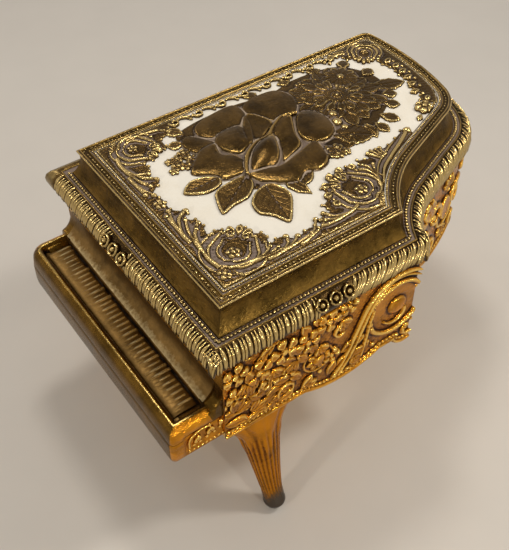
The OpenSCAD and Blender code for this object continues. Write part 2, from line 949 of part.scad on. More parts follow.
module velvet_walls() {
    z = floor_top + boss_h + 0.3;
    color(velvet)
        at_origin()
            before(partition_y - 0.1)
                difference() {
                    case_wall(inner_inset + 0.05, z, case_top - z - 1);
                    behind(inner_front + velvet_t)
                        plan_slab(inner_inset + 0.05 + velvet_t, z - slack, rim_z);
                }
}

module partition() {
    color(velvet)
        at_origin()
            intersection() {
                case_wall(inner_inset + 0.1, floor_top, cover_z - floor_top - 0.05);
                translate([0, partition_y, 0])
                    cube([rim_w, partition_t, rim_z]);
            }
}

module movement_cover() {
    color("white", 0.4)
        at_origin()
            difference() {
                behind(partition_y)
                    case_wall(inner_inset + 0.2, cover_z, cover_t);
                translate([plunger_at[0], plunger_at[1], 0])
                    cylinder(r = plunger_r + 0.3, h = rim_z);
            }
}

// ---- Hinges ----
// The axis runs along the bass side, clear of the wall and just under the lid
axis_x = wall_inset - knuckle_r - 0.05;
axis_z = lid_z - knuckle_r - 0.1;
leaf_reach = flange;
leaf_drop = 9;
hinge_ys = [26, 104];
knuckle_end = hinge_len * 0.32;
knuckle_slit = 0.15;

module pin_bore(y) {
    translate([axis_x, y - slack, axis_z])
        rotate([-90, 0, 0])
            cylinder(r = pin_r + pin_gap, h = hinge_len + 2 * slack);
}

module case_hinge_leaves() {
    color(brass)
        at_origin()
            for (y = hinge_ys) {
                start = y - hinge_len / 2;
                difference() {
                    union() {
                        translate([wall_inset - leaf_t, start, axis_z - leaf_drop])
                            cube([leaf_t, hinge_len, leaf_drop - knuckle_r - 0.2]);
                        for (end = [start, start + hinge_len - knuckle_end]) {
                            translate([wall_inset - leaf_t, end, axis_z - knuckle_r - 0.3])
                                cube([leaf_t, knuckle_end, knuckle_r + 0.3]);
                            translate([axis_x, end, axis_z])
                                rotate([-90, 0, 0])
                                    cylinder(r = knuckle_r, h = knuckle_end);
                        }
                    }
                    pin_bore(start);
                }
            }
}

module lid_hinge_leaves() {
    middle = hinge_len - 2 * knuckle_end - 2 * knuckle_slit;
    color(brass)
        at_origin()
            for (y = hinge_ys) {
                start = y - hinge_len / 2;
                translate([gadroon_foot + 0.05, start, lid_z])
                    cube([leaf_reach - gadroon_foot - 0.15, hinge_len, leaf_t - 0.02]);
                difference() {
                    union() {
                        translate([axis_x, y - middle / 2, axis_z])
                            rotate([-90, 0, 0])
                                cylinder(r = knuckle_r, h = middle);
                        translate([axis_x - leaf_t / 2, y - middle / 2, axis_z])
                            cube([wall_inset - 0.1 - axis_x + leaf_t / 2, middle, lid_z - axis_z + slack]);
                    }
                    pin_bore(start);
                }
            }
}

module hinge_pins() {
    head_r = 1;
    color(brass)
        at_origin()
            for (y = hinge_ys)
                translate([axis_x, y - hinge_len / 2, axis_z])
                    rotate([-90, 0, 0]) {
                        cylinder(r = pin_r, h = hinge_len);
                        for (z = [-0.5, hinge_len + 0.02])
                            translate([0, 0, z])
                                cylinder(r = head_r, h = 0.48);
                        translate([0, 0, -0.1])
                            cylinder(r = pin_r, h = hinge_len + 0.2);
                    }
}

// ---- Movement ----
// Its own frame has the bed plate's front bass corner at the origin and the plate's top at z = 0. The great
// wheel's face teeth drive the pinion on the drum shaft, the drum gear drives the relay, and the relay wheel
// drives the governor's worm and fan.
post_r = 2.4;
post_screw_r = 1;
corner_cut = 5;
posts = [[3.5, 9], [bed_l - 4, 4], [4, bed_w - 4], [bed_l - corner_cut - 3, bed_w - 4]];
barrel_c = [14, 14];
wheel_r = 13.5;
wheel_teeth = 42;
pinion_teeth = 14;
gear_teeth = 32;
relay_teeth = 8;
gear_r = 7.5;
face = 1.2;
pitch = 2 * PI * wheel_r / wheel_teeth;
gear_pitch = 2 * PI * gear_r / gear_teeth;
pinion_r = wheel_r * pinion_teeth / wheel_teeth;
relay_r = gear_r * relay_teeth / gear_teeth;
relay_wheel_r = 4;
worm_r = 1.6;
axis_h = 8.6;
teeth_h = axis_h - pinion_r;
tip_share = 0.22;
root_share = 0.3;
relay_at = [barrel_c[1] + gear_r + relay_r, axis_h];
worm_at = [27, relay_at[0] + relay_wheel_r + worm_r + 0.15];
relay_shaft_r = 0.6;
fan_r = 3.2;
left_bracket = 30.1;
right_bracket = bed_l - 2;
bracket_t = 1.2;
drum_from = left_bracket + bracket_t + 0.5;
gear_from = left_bracket - 1.5;
wheel_face = barrel_c[0] + wheel_r - face / 2;
plunger_r = 0.7;
plunger_uv = [20.6, worm_at[1]];
plunger_at = bed_at + plunger_uv;
bed_z = floor_top + post_h + bed_t;

module in_movement() {
    at_origin()
        translate([bed_at[0], bed_at[1], bed_z])
            children();
}

// A cylinder lying along +X
module lying(x, y, z, r, l) {
    translate([x, y, z])
        rotate([90, 0, 90])
            cylinder(r = r, h = l);
}

// A spur gear's outline with straight-sided teeth; the first tooth points along +X
function gear_points(r, teeth, pitch) = [
    for (i = [0:teeth - 1])
        let (a = 360 * i / teeth, root = r - root_share * pitch, tip = r + tip_share * pitch, step = 360 / teeth)
        each [
            root * dir(a - 0.28 * step), tip * dir(a - 0.12 * step),
            tip * dir(a + 0.12 * step), root * dir(a + 0.28 * step)
        ]
];

module spur(x, y, z, r, teeth, pitch, turn, width, bore) {
    translate([x, y, z])
        rotate([90, 0, 90])
            difference() {
                linear_extrude(width)
                    rotate(turn)
                        polygon(gear_points(r, teeth, pitch));
                translate([0, 0, -slack])
                    cylinder(r = bore, h = width + 2 * slack);
            }
}

module bed_plate() {
    color(brass)
        in_movement()
            difference() {
                union() {
                    translate([0, 0, -bed_t])
                        cube([bed_l, bed_w, bed_t]);
                    for (p = posts)
                        translate([p[0], p[1], -bed_t - post_h])
                            cylinder(r = post_r, h = post_h + slack);
                }
                for (p = posts)
                    translate([p[0], p[1], -bed_t - post_h - slack])
                        cylinder(r = post_screw_r, h = post_h + bed_t + 2 * slack);
                translate([barrel_c[0], barrel_c[1], -bed_t - slack])
                    cylinder(r = arbor_r + shaft_gap, h = bed_t + 2 * slack);
                // the corner towards the bentside is cut off
                translate([bed_l - corner_cut, bed_w, -bed_t - slack])
                    rotate(-45)
                        cube([2 * corner_cut, corner_cut, bed_t + 2 * slack]);
            }
}

module movement_screws() {
    reach = floor_t + post_h + bed_t - 0.3;
    color(steel)
        in_movement()
            for (p = posts)
                translate([p[0], p[1], -bed_t - post_h - floor_t])
                    mirror([0, 0, 1])
                        translate([0, 0, -reach])
                            screw(post_screw_r - 0.05, reach, 1.9, 0.9);
}

barrel_z = 5;
barrel_wall = 0.8;

module spring_barrel() {
    ear_r = 16.6;
    ear_w = 1.6;
    color(steel)
        in_movement()
            translate([barrel_c[0], barrel_c[1], 0])
                difference() {
                    union() {
                        translate([0, 0, barrel_z])
                            cylinder(r = barrel_r, h = barrel_h);
                        for (a = [135, 225, 315])
                            rotate(a) {
                                translate([barrel_r - 1, -ear_w, barrel_z])
                                    cube([ear_r - barrel_r + 1, 2 * ear_w, 1]);
                                translate([ear_r - 2, -ear_w, 0])
                                    cube([2, 2 * ear_w, barrel_z + 1]);
                            }
                    }
                    translate([0, 0, barrel_z + barrel_wall])
                        cylinder(r = barrel_r - barrel_wall, h = barrel_h - 2 * barrel_wall);
                    translate([0, 0, barrel_z - slack])
                        cylinder(r = arbor_r + shaft_gap, h = barrel_h + 1);
                }
}

// The mainspring: a flat spiral strip drawn as one outline, out along its inner face and back along its outer
module mainspring() {
    turns = 5;
    strip = 0.5;
    inner = arbor_r + 0.5;
    outer = barrel_r - barrel_wall - strip - 0.2;
    n = 20 * turns;
    function face_at(i, off) = (mix(inner, outer, i / n) + off) * dir(360 * turns * i / n);
    color(steel)
        in_movement()
            translate([barrel_c[0], barrel_c[1], barrel_z + barrel_wall + 0.2])
                linear_extrude(barrel_h - 2 * barrel_wall - 0.4)
                    polygon(concat(
                        [for (i = [0:n]) face_at(i, strip)],
                        [for (i = [n:-1:0]) face_at(i, 0)]
                    ));
}

key_gap = 2;
key_hub_h = 8;

module winding_arbor() {
    below = bed_t + post_h + floor_t + key_gap + key_hub_h - 1;
    color(steel)
        in_movement()
            translate([barrel_c[0], barrel_c[1], -below])
                cylinder(r = arbor_r, h = below + barrel_z + barrel_h + 1);
}

// The great wheel is fixed on the arbor, and its teeth stand on its face
module great_wheel() {
    hub_r = 3.4;
    root_z = teeth_h - root_share * pitch;
    disc_t = 1.4;
    color(brass)
        in_movement()
            translate([barrel_c[0], barrel_c[1], 0])
                difference() {
                    union() {
                        translate([0, 0, root_z - disc_t])
                            cylinder(r = wheel_r + face / 2, h = disc_t);
                        translate([0, 0, 0.3])
                            cylinder(r = hub_r, h = root_z);
                        for (i = [0:wheel_teeth - 1])
                            rotate(360 * i / wheel_teeth)
                                translate([wheel_r - face / 2, 0, root_z - slack])
                                    rotate([90, 0, 90])
                                        linear_extrude(face)
                                            polygon([
                                                [-0.28 * pitch, 0], [0.28 * pitch, 0],
                                                [0.12 * pitch, (root_share + tip_share) * pitch],
                                                [-0.12 * pitch, (root_share + tip_share) * pitch]
                                            ]);
                    }
                    cylinder(r = arbor_r + 0.01, h = axis_h);
                }
}

// A butterfly key: a hub with two round wings, each with an eye
module winding_key() {
    hub_r = 3;
    wing_r = key_span / 4;
    wing_t = 1.6;
    hub_z = -bed_t - post_h - floor_t - key_gap - key_hub_h;
    wing_z = hub_z - wing_r * 0.4;
    color(brass)
        in_movement()
            translate([barrel_c[0], barrel_c[1], 0]) {
                difference() {
                    translate([0, 0, hub_z])
                        cylinder(r = hub_r, h = key_hub_h);
                    translate([0, 0, hub_z + 1])
                        cylinder(r = arbor_r + 0.01, h = key_hub_h);
                }
                difference() {
                    union() {
                        for (side = [-1, 1])
                            translate([side * (key_span / 2 - wing_r), wing_t / 2, wing_z - 1])
                                rotate([90, 0, 0])
                                    cylinder(r = wing_r, h = wing_t);
                        translate([-hub_r, -wing_t / 2, wing_z - 3])
                            cube([2 * hub_r, wing_t, hub_z - wing_z + 3 + slack]);
                    }
                    for (side = [-1, 1])
                        translate([side * (key_span / 2 - wing_r), wing_t, wing_z - 1])
                            rotate([90, 0, 0])
                                cylinder(r = wing_r * 0.45, h = 2 * wing_t);
                    translate([0, 0, hub_z])
                        cylinder(r = hub_r - 0.5, h = key_hub_h);
                }
            }
}

module drum() {
    end_t = 0.8;
    color(brass)
        in_movement()
            difference() {
                lying(drum_from, barrel_c[1], axis_h, drum_r, drum_l);
                lying(drum_from + end_t, barrel_c[1], axis_h, drum_r - 0.8, drum_l - 2 * end_t);
                lying(drum_from - slack, barrel_c[1], axis_h, shaft_r + 0.01, drum_l + 1);
            }
}

module drum_shaft() {
    from = barrel_c[0] + barrel_r + 0.25;
    color(steel)
        in_movement()
            lying(from, barrel_c[1], axis_h, shaft_r, right_bracket + bracket_t - from);
}

module drum_pinion() {
    color(brass)
        in_movement()
            spur(
                wheel_face, barrel_c[1], axis_h, pinion_r, pinion_teeth, pitch,
                270 + 180 / pinion_teeth, face, shaft_r + 0.01
            );
}

module drum_gear() {
    color(brass)
        in_movement()
            spur(gear_from, barrel_c[1], axis_h, gear_r, gear_teeth, gear_pitch, 0, face, shaft_r + 0.01);
}

module drum_brackets() {
    half = 4;
    color(steel)
        in_movement()
            difference() {
                union() {
                    translate([left_bracket, barrel_c[1] - half, 0])
                        cube([bracket_t, relay_at[0] - barrel_c[1] + half + 2, axis_h + 2.5]);
                    translate([right_bracket, barrel_c[1] - half, 0])
                        cube([bracket_t, 2 * half, axis_h + 2.5]);
                    translate([right_bracket - 3, barrel_c[1] - half, 0])
                        cube([3 + slack, 2 * half, 0.8]);
                }
                lying(left_bracket - slack, barrel_c[1], axis_h, shaft_r + shaft_gap, bed_l);
                lying(left_bracket - slack, relay_at[0], axis_h, relay_shaft_r + shaft_gap, bracket_t + 1);
            }
}

// The comb lies level with the drum's axis, its tips just clear of the drum
comb_tip = barrel_c[1] + drum_r + 0.35;
tooth_l = 10.5;
comb_t = 0.9;
comb_base_d = 7;
comb_from = drum_from + 0.4;
comb_w = drum_l - 0.8;
comb_z = axis_h - comb_t;

module comb() {
    note = comb_w / notes;
    slit = 0.25;
    color(steel)
        in_movement()
            difference() {
                union() {
                    translate([comb_from, comb_tip, comb_z])
                        cube([comb_w, tooth_l + comb_base_d, comb_t]);
                    translate([comb_from, comb_tip + tooth_l, comb_z])
                        cube([comb_w, comb_base_d, comb_t + 0.8]);
                }
                for (i = [1:notes - 1])
                    translate([comb_from + i * note - slit / 2, comb_tip - slack, comb_z - slack])
                        cube([slit, mix(tooth_l, tooth_l * 0.6, i / notes), comb_t + 2 * slack]);
                for (x = comb_screw_x)
                    translate([x, comb_tip + tooth_l + comb_base_d / 2, 0])
                        cylinder(r = 0.95, h = 2 * axis_h);
            }
}
comb_screw_x = [comb_from + 3, comb_from + comb_w - 3];

module comb_block() {
    color(brass)
        in_movement()
            difference() {
                translate([comb_from, comb_tip + tooth_l + 0.5, 0])
                    cube([comb_w, comb_base_d - 0.5, comb_z]);
                for (x = comb_screw_x)
                    translate([x, comb_tip + tooth_l + comb_base_d / 2, comb_z - 4])
                        cylinder(r = 0.9, h = 5);
            }
}

module comb_screws() {
    color(steel)
        in_movement()
            for (x = comb_screw_x)
                translate([x, comb_tip + tooth_l + comb_base_d / 2, comb_z - 3.5])
                    screw(0.85, 3.5 + comb_t + 0.8, 1.5, 0.8);
}

// The governor's frame: a foot, a post, a cheek for the relay shaft, and an arm over the fan
frame_post_y = 33.2;
cheek_x = 23.9;
cheek_t = 0.8;
arm_z = 18;
arm_t = 1.2;
worm_shaft_r = 0.5;

module governor_frame() {
    post_t = 1.3;
    color(steel)
        in_movement()
            difference() {
                union() {
                    translate([cheek_x, worm_at[1] - 3.4, 0])
                        cube([6, frame_post_y + post_t - worm_at[1] + 3.4, 1.2]);
                    translate([cheek_x, frame_post_y, 0])
                        cube([6, post_t, arm_z + arm_t]);
                    translate([cheek_x, 21.6, axis_h - 2])
                        cube([cheek_t, frame_post_y - 21.6 + slack, 4]);
                    translate([worm_at[0] - 1.8, worm_at[1] - 1.8, arm_z])
                        cube([3.6, frame_post_y - worm_at[1] + 1.8 + slack, arm_t]);
                    translate([plunger_uv[0] - 1.8, worm_at[1] - 1.8, arm_z])
                        cube([worm_at[0] - plunger_uv[0] + 1.8, 3.6, arm_t]);
                }
                translate([worm_at[0], worm_at[1], -slack])
                    cylinder(r = worm_shaft_r + shaft_gap, h = arm_z + 2 * arm_t);
                translate([plunger_uv[0], plunger_uv[1], arm_z - slack])
                    cylinder(r = plunger_r + shaft_gap, h = 2 * arm_t);
                lying(cheek_x - slack, relay_at[0], axis_h, relay_shaft_r + shaft_gap, 2);
            }
}

module relay_wheel() {
    wheel_x = worm_at[0] - face / 2;
    color(brass)
        in_movement() {
            lying(cheek_x, relay_at[0], axis_h, relay_shaft_r, left_bracket + bracket_t - cheek_x);
            spur(
                gear_from, relay_at[0], axis_h, relay_r, relay_teeth, gear_pitch,
                180 + 180 / relay_teeth, face, relay_shaft_r - slack
            );
            difference() {
                lying(wheel_x, relay_at[0], axis_h, relay_wheel_r, face);
                lying(wheel_x - slack, relay_at[0], axis_h, relay_shaft_r - slack, face + 1);
            }
        }
}

module governor_worm() {
    core_r = worm_r - 0.5;
    fan_t = 0.4;
    thread_h = 0.5;
    color(brass)
        in_movement()
            translate([worm_at[0], worm_at[1], 0]) {
                translate([0, 0, 0.2])
                    cylinder(r = worm_shaft_r, h = arm_z + arm_t - 0.4);
                translate([0, 0, 4.5])
                    cylinder(r = core_r, h = 8.2);
                for (z = [5:1:11.6])
                    translate([0, 0, z])
                        cylinder(r = worm_r, h = thread_h);
                for (a = [0, 90])
                    rotate(a)
                        translate([-fan_r, -fan_t / 2, 13.2])
                            cube([2 * fan_r, fan_t, 4]);
            }
}

// The plunger lets the fan turn when the lid lifts off it; its finger stands just clear of the fan
module stop_plunger() {
    low = 13;
    finger = worm_at[0] - fan_r - 0.25 - plunger_uv[0];
    top = cavity_top - velvet_t - 0.3 - bed_z;
    color(steel)
        in_movement()
            translate([plunger_uv[0], plunger_uv[1], low]) {
                cylinder(r = plunger_r, h = top - low - plunger_r);
                translate([0, 0, top - low - plunger_r])
                    sphere(plunger_r);
                translate([0, -0.4, 0.6])
                    cube([finger, 0.8, 1.2]);
            }
}

lid_shell();
lid_gadroon_border();
lid_top_border();
lid_enamel();
corner_scrolls();
leaf_spray();
rose_bloom();
daisy_bloom();
lid_lining();
case_shell();
case_relief();
key_bed();
keyboard();
bottom_plate();
bottom_plate_screws();
leg_bass();
leg_treble();
leg_tail();
leg_screws();
velvet_floor();
velvet_walls();
partition();
movement_cover();
case_hinge_leaves();
lid_hinge_leaves();
hinge_pins();
bed_plate();
movement_screws();
spring_barrel();
mainspring();
winding_arbor();
great_wheel();
winding_key();
drum();
drum_shaft();
drum_pinion();
drum_gear();
drum_brackets();
comb_block();
comb();
comb_screws();
governor_frame();
relay_wheel();
governor_worm();
stop_plunger();
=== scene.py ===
"""Dresses the piano-shaped musical trinket box: gilt castings, enamel, velvet and the comb movement."""

import math

import bmesh
import bpy
import numpy as np
from mathutils import Matrix, Vector


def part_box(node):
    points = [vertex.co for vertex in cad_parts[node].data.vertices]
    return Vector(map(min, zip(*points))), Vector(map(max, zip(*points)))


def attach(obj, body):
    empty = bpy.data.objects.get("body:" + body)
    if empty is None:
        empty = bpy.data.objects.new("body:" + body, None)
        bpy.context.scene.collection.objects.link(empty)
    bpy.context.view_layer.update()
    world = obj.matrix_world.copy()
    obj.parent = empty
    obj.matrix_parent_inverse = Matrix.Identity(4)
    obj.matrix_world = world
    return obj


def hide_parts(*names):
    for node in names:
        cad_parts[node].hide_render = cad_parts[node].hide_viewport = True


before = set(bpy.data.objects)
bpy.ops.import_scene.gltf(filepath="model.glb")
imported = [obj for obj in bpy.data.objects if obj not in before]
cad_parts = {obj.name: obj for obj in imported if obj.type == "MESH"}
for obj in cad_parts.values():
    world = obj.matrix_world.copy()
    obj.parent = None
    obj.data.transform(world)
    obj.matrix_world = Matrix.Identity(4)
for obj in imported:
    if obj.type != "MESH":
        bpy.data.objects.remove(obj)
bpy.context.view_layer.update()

bl_info = {
    "name": "Piano trinket box",
    "version": (1, 0, 0),
    "blender": (4, 5, 0),
    "location": "View3D > Sidebar > Piano box",
    "description": "Builds the looks of a gilt piano-shaped musical trinket box round its solids",
    "category": "Object",
}

MM = 0.001


def box_mm(node):
    """The lowest and highest corner of a CAD node, in millimetres."""
    low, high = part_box(node)
    return np.array(low) / MM, np.array(high) / MM


# ---- Driving sizes, read from the solids, in millimetres in the lid rim's own frame ----
# x runs from the bass side of the rim to the treble side, y from its front edge to the tail, z up from the table.
RIM_LOW, RIM_HIGH = box_mm("lid_gadroon_border")
SHELL_LOW, SHELL_HIGH = box_mm("lid_shell")
ENAMEL_HIGH = box_mm("lid_enamel")[1]
CASE_LOW, CASE_HIGH = box_mm("case_shell")
BED_LOW, BED_HIGH = box_mm("key_bed")
ORIGIN = np.array([RIM_LOW[0], RIM_LOW[1], 0.0])
RIM_W = RIM_HIGH[0] - RIM_LOW[0]
RIM_L = RIM_HIGH[1] - RIM_LOW[1]
LID_Z = SHELL_LOW[2]
PLATE_Z = SHELL_HIGH[2]
ENAMEL_Z = ENAMEL_HIGH[2]
ROSE_RISE = box_mm("rose_bloom")[1][2] - ENAMEL_Z
RIM_Z = LID_Z + 5.0
TOP_INSET = 9.4
WALL_INSET = CASE_LOW[0] - RIM_LOW[0]
CASE_TOP = CASE_HIGH[2]
APRON_Z = 45.0
SCALLOP = APRON_Z - CASE_LOW[2]

# The rim's outline: a straight treble side, a hollow arc, a straight run, a shoulder, a shallow tail and a corner
TREBLE_LEN = 80.0
HOLLOW_R = 32.0
BENT_RUN = 26.0
SHOULDER_R = 25.0
TAIL_R = 107.0
CORNER_HEADING = 160.0
HOLLOW_TURN = 48.0
SHOULDER_TURN = 54.0
TAIL_TURN = 26.0
LEAST_CORNER_R = 3.0


def heading(a):
    return np.array([math.cos(math.radians(a)), math.sin(math.radians(a))])


RUN_HEADING = CORNER_HEADING - HOLLOW_TURN
TAIL_HEADING = RUN_HEADING + SHOULDER_TURN
END_HEADING = TAIL_HEADING + TAIL_TURN
HOLLOW_C = np.array([RIM_W, TREBLE_LEN]) + HOLLOW_R * heading(CORNER_HEADING - 90)
RUN_START = HOLLOW_C + HOLLOW_R * heading(RUN_HEADING + 90)
RUN_END = RUN_START + BENT_RUN * heading(RUN_HEADING)
SHOULDER_C = RUN_END + SHOULDER_R * heading(RUN_HEADING + 90)
SHOULDER_END = SHOULDER_C + SHOULDER_R * heading(TAIL_HEADING - 90)
TAIL_C = SHOULDER_END + TAIL_R * heading(TAIL_HEADING + 90)
TAIL_END = TAIL_C + TAIL_R * heading(END_HEADING - 90)
END_R = TAIL_END[0] / (1 - math.cos(math.radians(END_HEADING + 90)))


def arc(centre, r, start, end, n):
    a = np.radians(np.linspace(start, end, n, endpoint=False))
    return np.stack([centre[0] + r * np.cos(a), centre[1] + r * np.sin(a)], 1)


def line(a, b, n):
    t = np.linspace(0, 1, n, endpoint=False)[:, None]
    return np.asarray(a) * (1 - t) + np.asarray(b) * t


def outline(d, step, bass_step=2.0):
    """The rim's outline inset by d, anticlockwise from the bass front corner, the same count for every d."""
    def count(length):
        return max(2, round(length / step))

    hollow = math.degrees(math.acos((RIM_W - d - HOLLOW_C[0]) / (HOLLOW_R + d)))
    corner_r = max(END_R - d, LEAST_CORNER_R)
    end = math.degrees(math.acos((d + corner_r - TAIL_C[0]) / (TAIL_R - d - corner_r)))
    corner_c = TAIL_C + (TAIL_R - d - corner_r) * heading(end)
    hollow_start = HOLLOW_C + (HOLLOW_R + d) * heading(360 - hollow)
    run_a = HOLLOW_C + (HOLLOW_R + d) * heading(RUN_HEADING + 90)
    run_b = SHOULDER_C + (SHOULDER_R - d) * heading(RUN_HEADING - 90)
    arc_mm = math.pi / 180
    return np.concatenate([
        line((d, d), (RIM_W - d, d), count(RIM_W)),
        line((RIM_W - d, d), hollow_start, count(TREBLE_LEN)),
        arc(HOLLOW_C, HOLLOW_R + d, 360 - hollow, RUN_HEADING + 90, count(HOLLOW_R * HOLLOW_TURN * arc_mm)),
        line(run_a, run_b, count(BENT_RUN)),
        arc(SHOULDER_C, SHOULDER_R - d, RUN_HEADING - 90, TAIL_HEADING - 90,
            count(SHOULDER_R * SHOULDER_TURN * arc_mm)),
        arc(TAIL_C, TAIL_R - d, TAIL_HEADING - 90, end, count(TAIL_R * TAIL_TURN * arc_mm)),
        arc(corner_c, corner_r, end, 180, count(END_R * 1.4)),
        line((d, corner_c[1]), (d, d), max(2, round(RIM_L / bass_step))),
    ])


def lengths(points, closed=True):
    """How far along the line each point lies."""
    ends = np.roll(points, -1, 0) if closed else points[1:]
    starts = points if closed else points[:-1]
    return np.concatenate([[0], np.cumsum(np.linalg.norm(ends - starts, axis=1))])


# ---- Mesh helpers ----
def to_frame(points):
    """Millimetres in the rim's frame to metres in the part's frame."""
    return (np.asarray(points, float) + ORIGIN) * MM


def make_piece(name, points, faces, material, body, smooth=40.0, shades=None, turn_out=False):
    """A mesh object from points in the rim's frame, riding on a body, with named shade values on its points."""
    mesh = bpy.data.meshes.new(name)
    mesh.from_pydata([tuple(p) for p in to_frame(points)], [], [tuple(int(i) for i in f) for f in faces])
    mesh.validate()
    piece = bpy.data.objects.new(name, mesh)
    bpy.context.scene.collection.objects.link(piece)
    for key, values in (shades or {}).items():
        mesh.attributes.new(key, "FLOAT", "POINT").data.foreach_set("value", np.asarray(values, np.float32))
    if turn_out:
        work = bmesh.new()
        work.from_mesh(mesh)
        bmesh.ops.recalc_face_normals(work, faces=work.faces)
        work.to_mesh(mesh)
        work.free()
    finish_piece(piece, material, body, smooth)
    return piece


def finish_piece(piece, material, body, smooth=40.0):
    mesh = piece.data
    mesh.materials.clear()
    mesh.materials.append(material)
    mesh.shade_smooth()
    if smooth:
        mesh.set_sharp_from_angle(angle=math.radians(smooth))
    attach(piece, body)


def ring_faces(rows, across, closed_rows=False, closed_across=True):
    """Quads over a grid of rows of points, wound to face outward for rows rising round an anticlockwise ring."""
    i = np.arange(rows if closed_rows else rows - 1)
    j = np.arange(across if closed_across else across - 1)
    ii, jj = np.meshgrid(i, j, indexing="ij")
    up = (ii + 1) % rows
    nxt = (jj + 1) % across
    return np.stack([ii * across + jj, ii * across + nxt, up * across + nxt, up * across + jj], -1).reshape(-1, 4)


def loft(rings, cap_low=True, cap_high=True):
    """Points and faces of a skin over rings with the same number of points, lowest first."""
    rings = [np.asarray(r) for r in rings]
    n = len(rings[0])
    faces = [tuple(f) for f in ring_faces(len(rings), n)]
    if cap_low:
        faces.append(tuple(range(n - 1, -1, -1)))
    if cap_high:
        faces.append(tuple(range((len(rings) - 1) * n, len(rings) * n)))
    return np.concatenate(rings), faces


def at_height(ring, z):
    z = np.broadcast_to(np.asarray(z, float), (len(ring),))
    return np.column_stack([ring, z])


def blur(h, radius):
    """A box blur run three times along each axis, close to a Gaussian of that radius in cells."""
    r = max(1, int(round(radius)))
    for _ in range(3):
        for axis in (0, 1):
            padded = np.concatenate([np.repeat(h.take([0], axis), r, axis), h,
                                     np.repeat(h.take([-1], axis), r, axis)], axis)
            total = np.cumsum(np.insert(padded, 0, 0, axis), axis)
            size = 2 * r + 1
            n = h.shape[axis]
            h = (total.take(range(size, size + n), axis) - total.take(range(0, n), axis)) / size
    return h


def smoothstep(x):
    x = np.clip(x, 0, 1)
    return x * x * (3 - 2 * x)


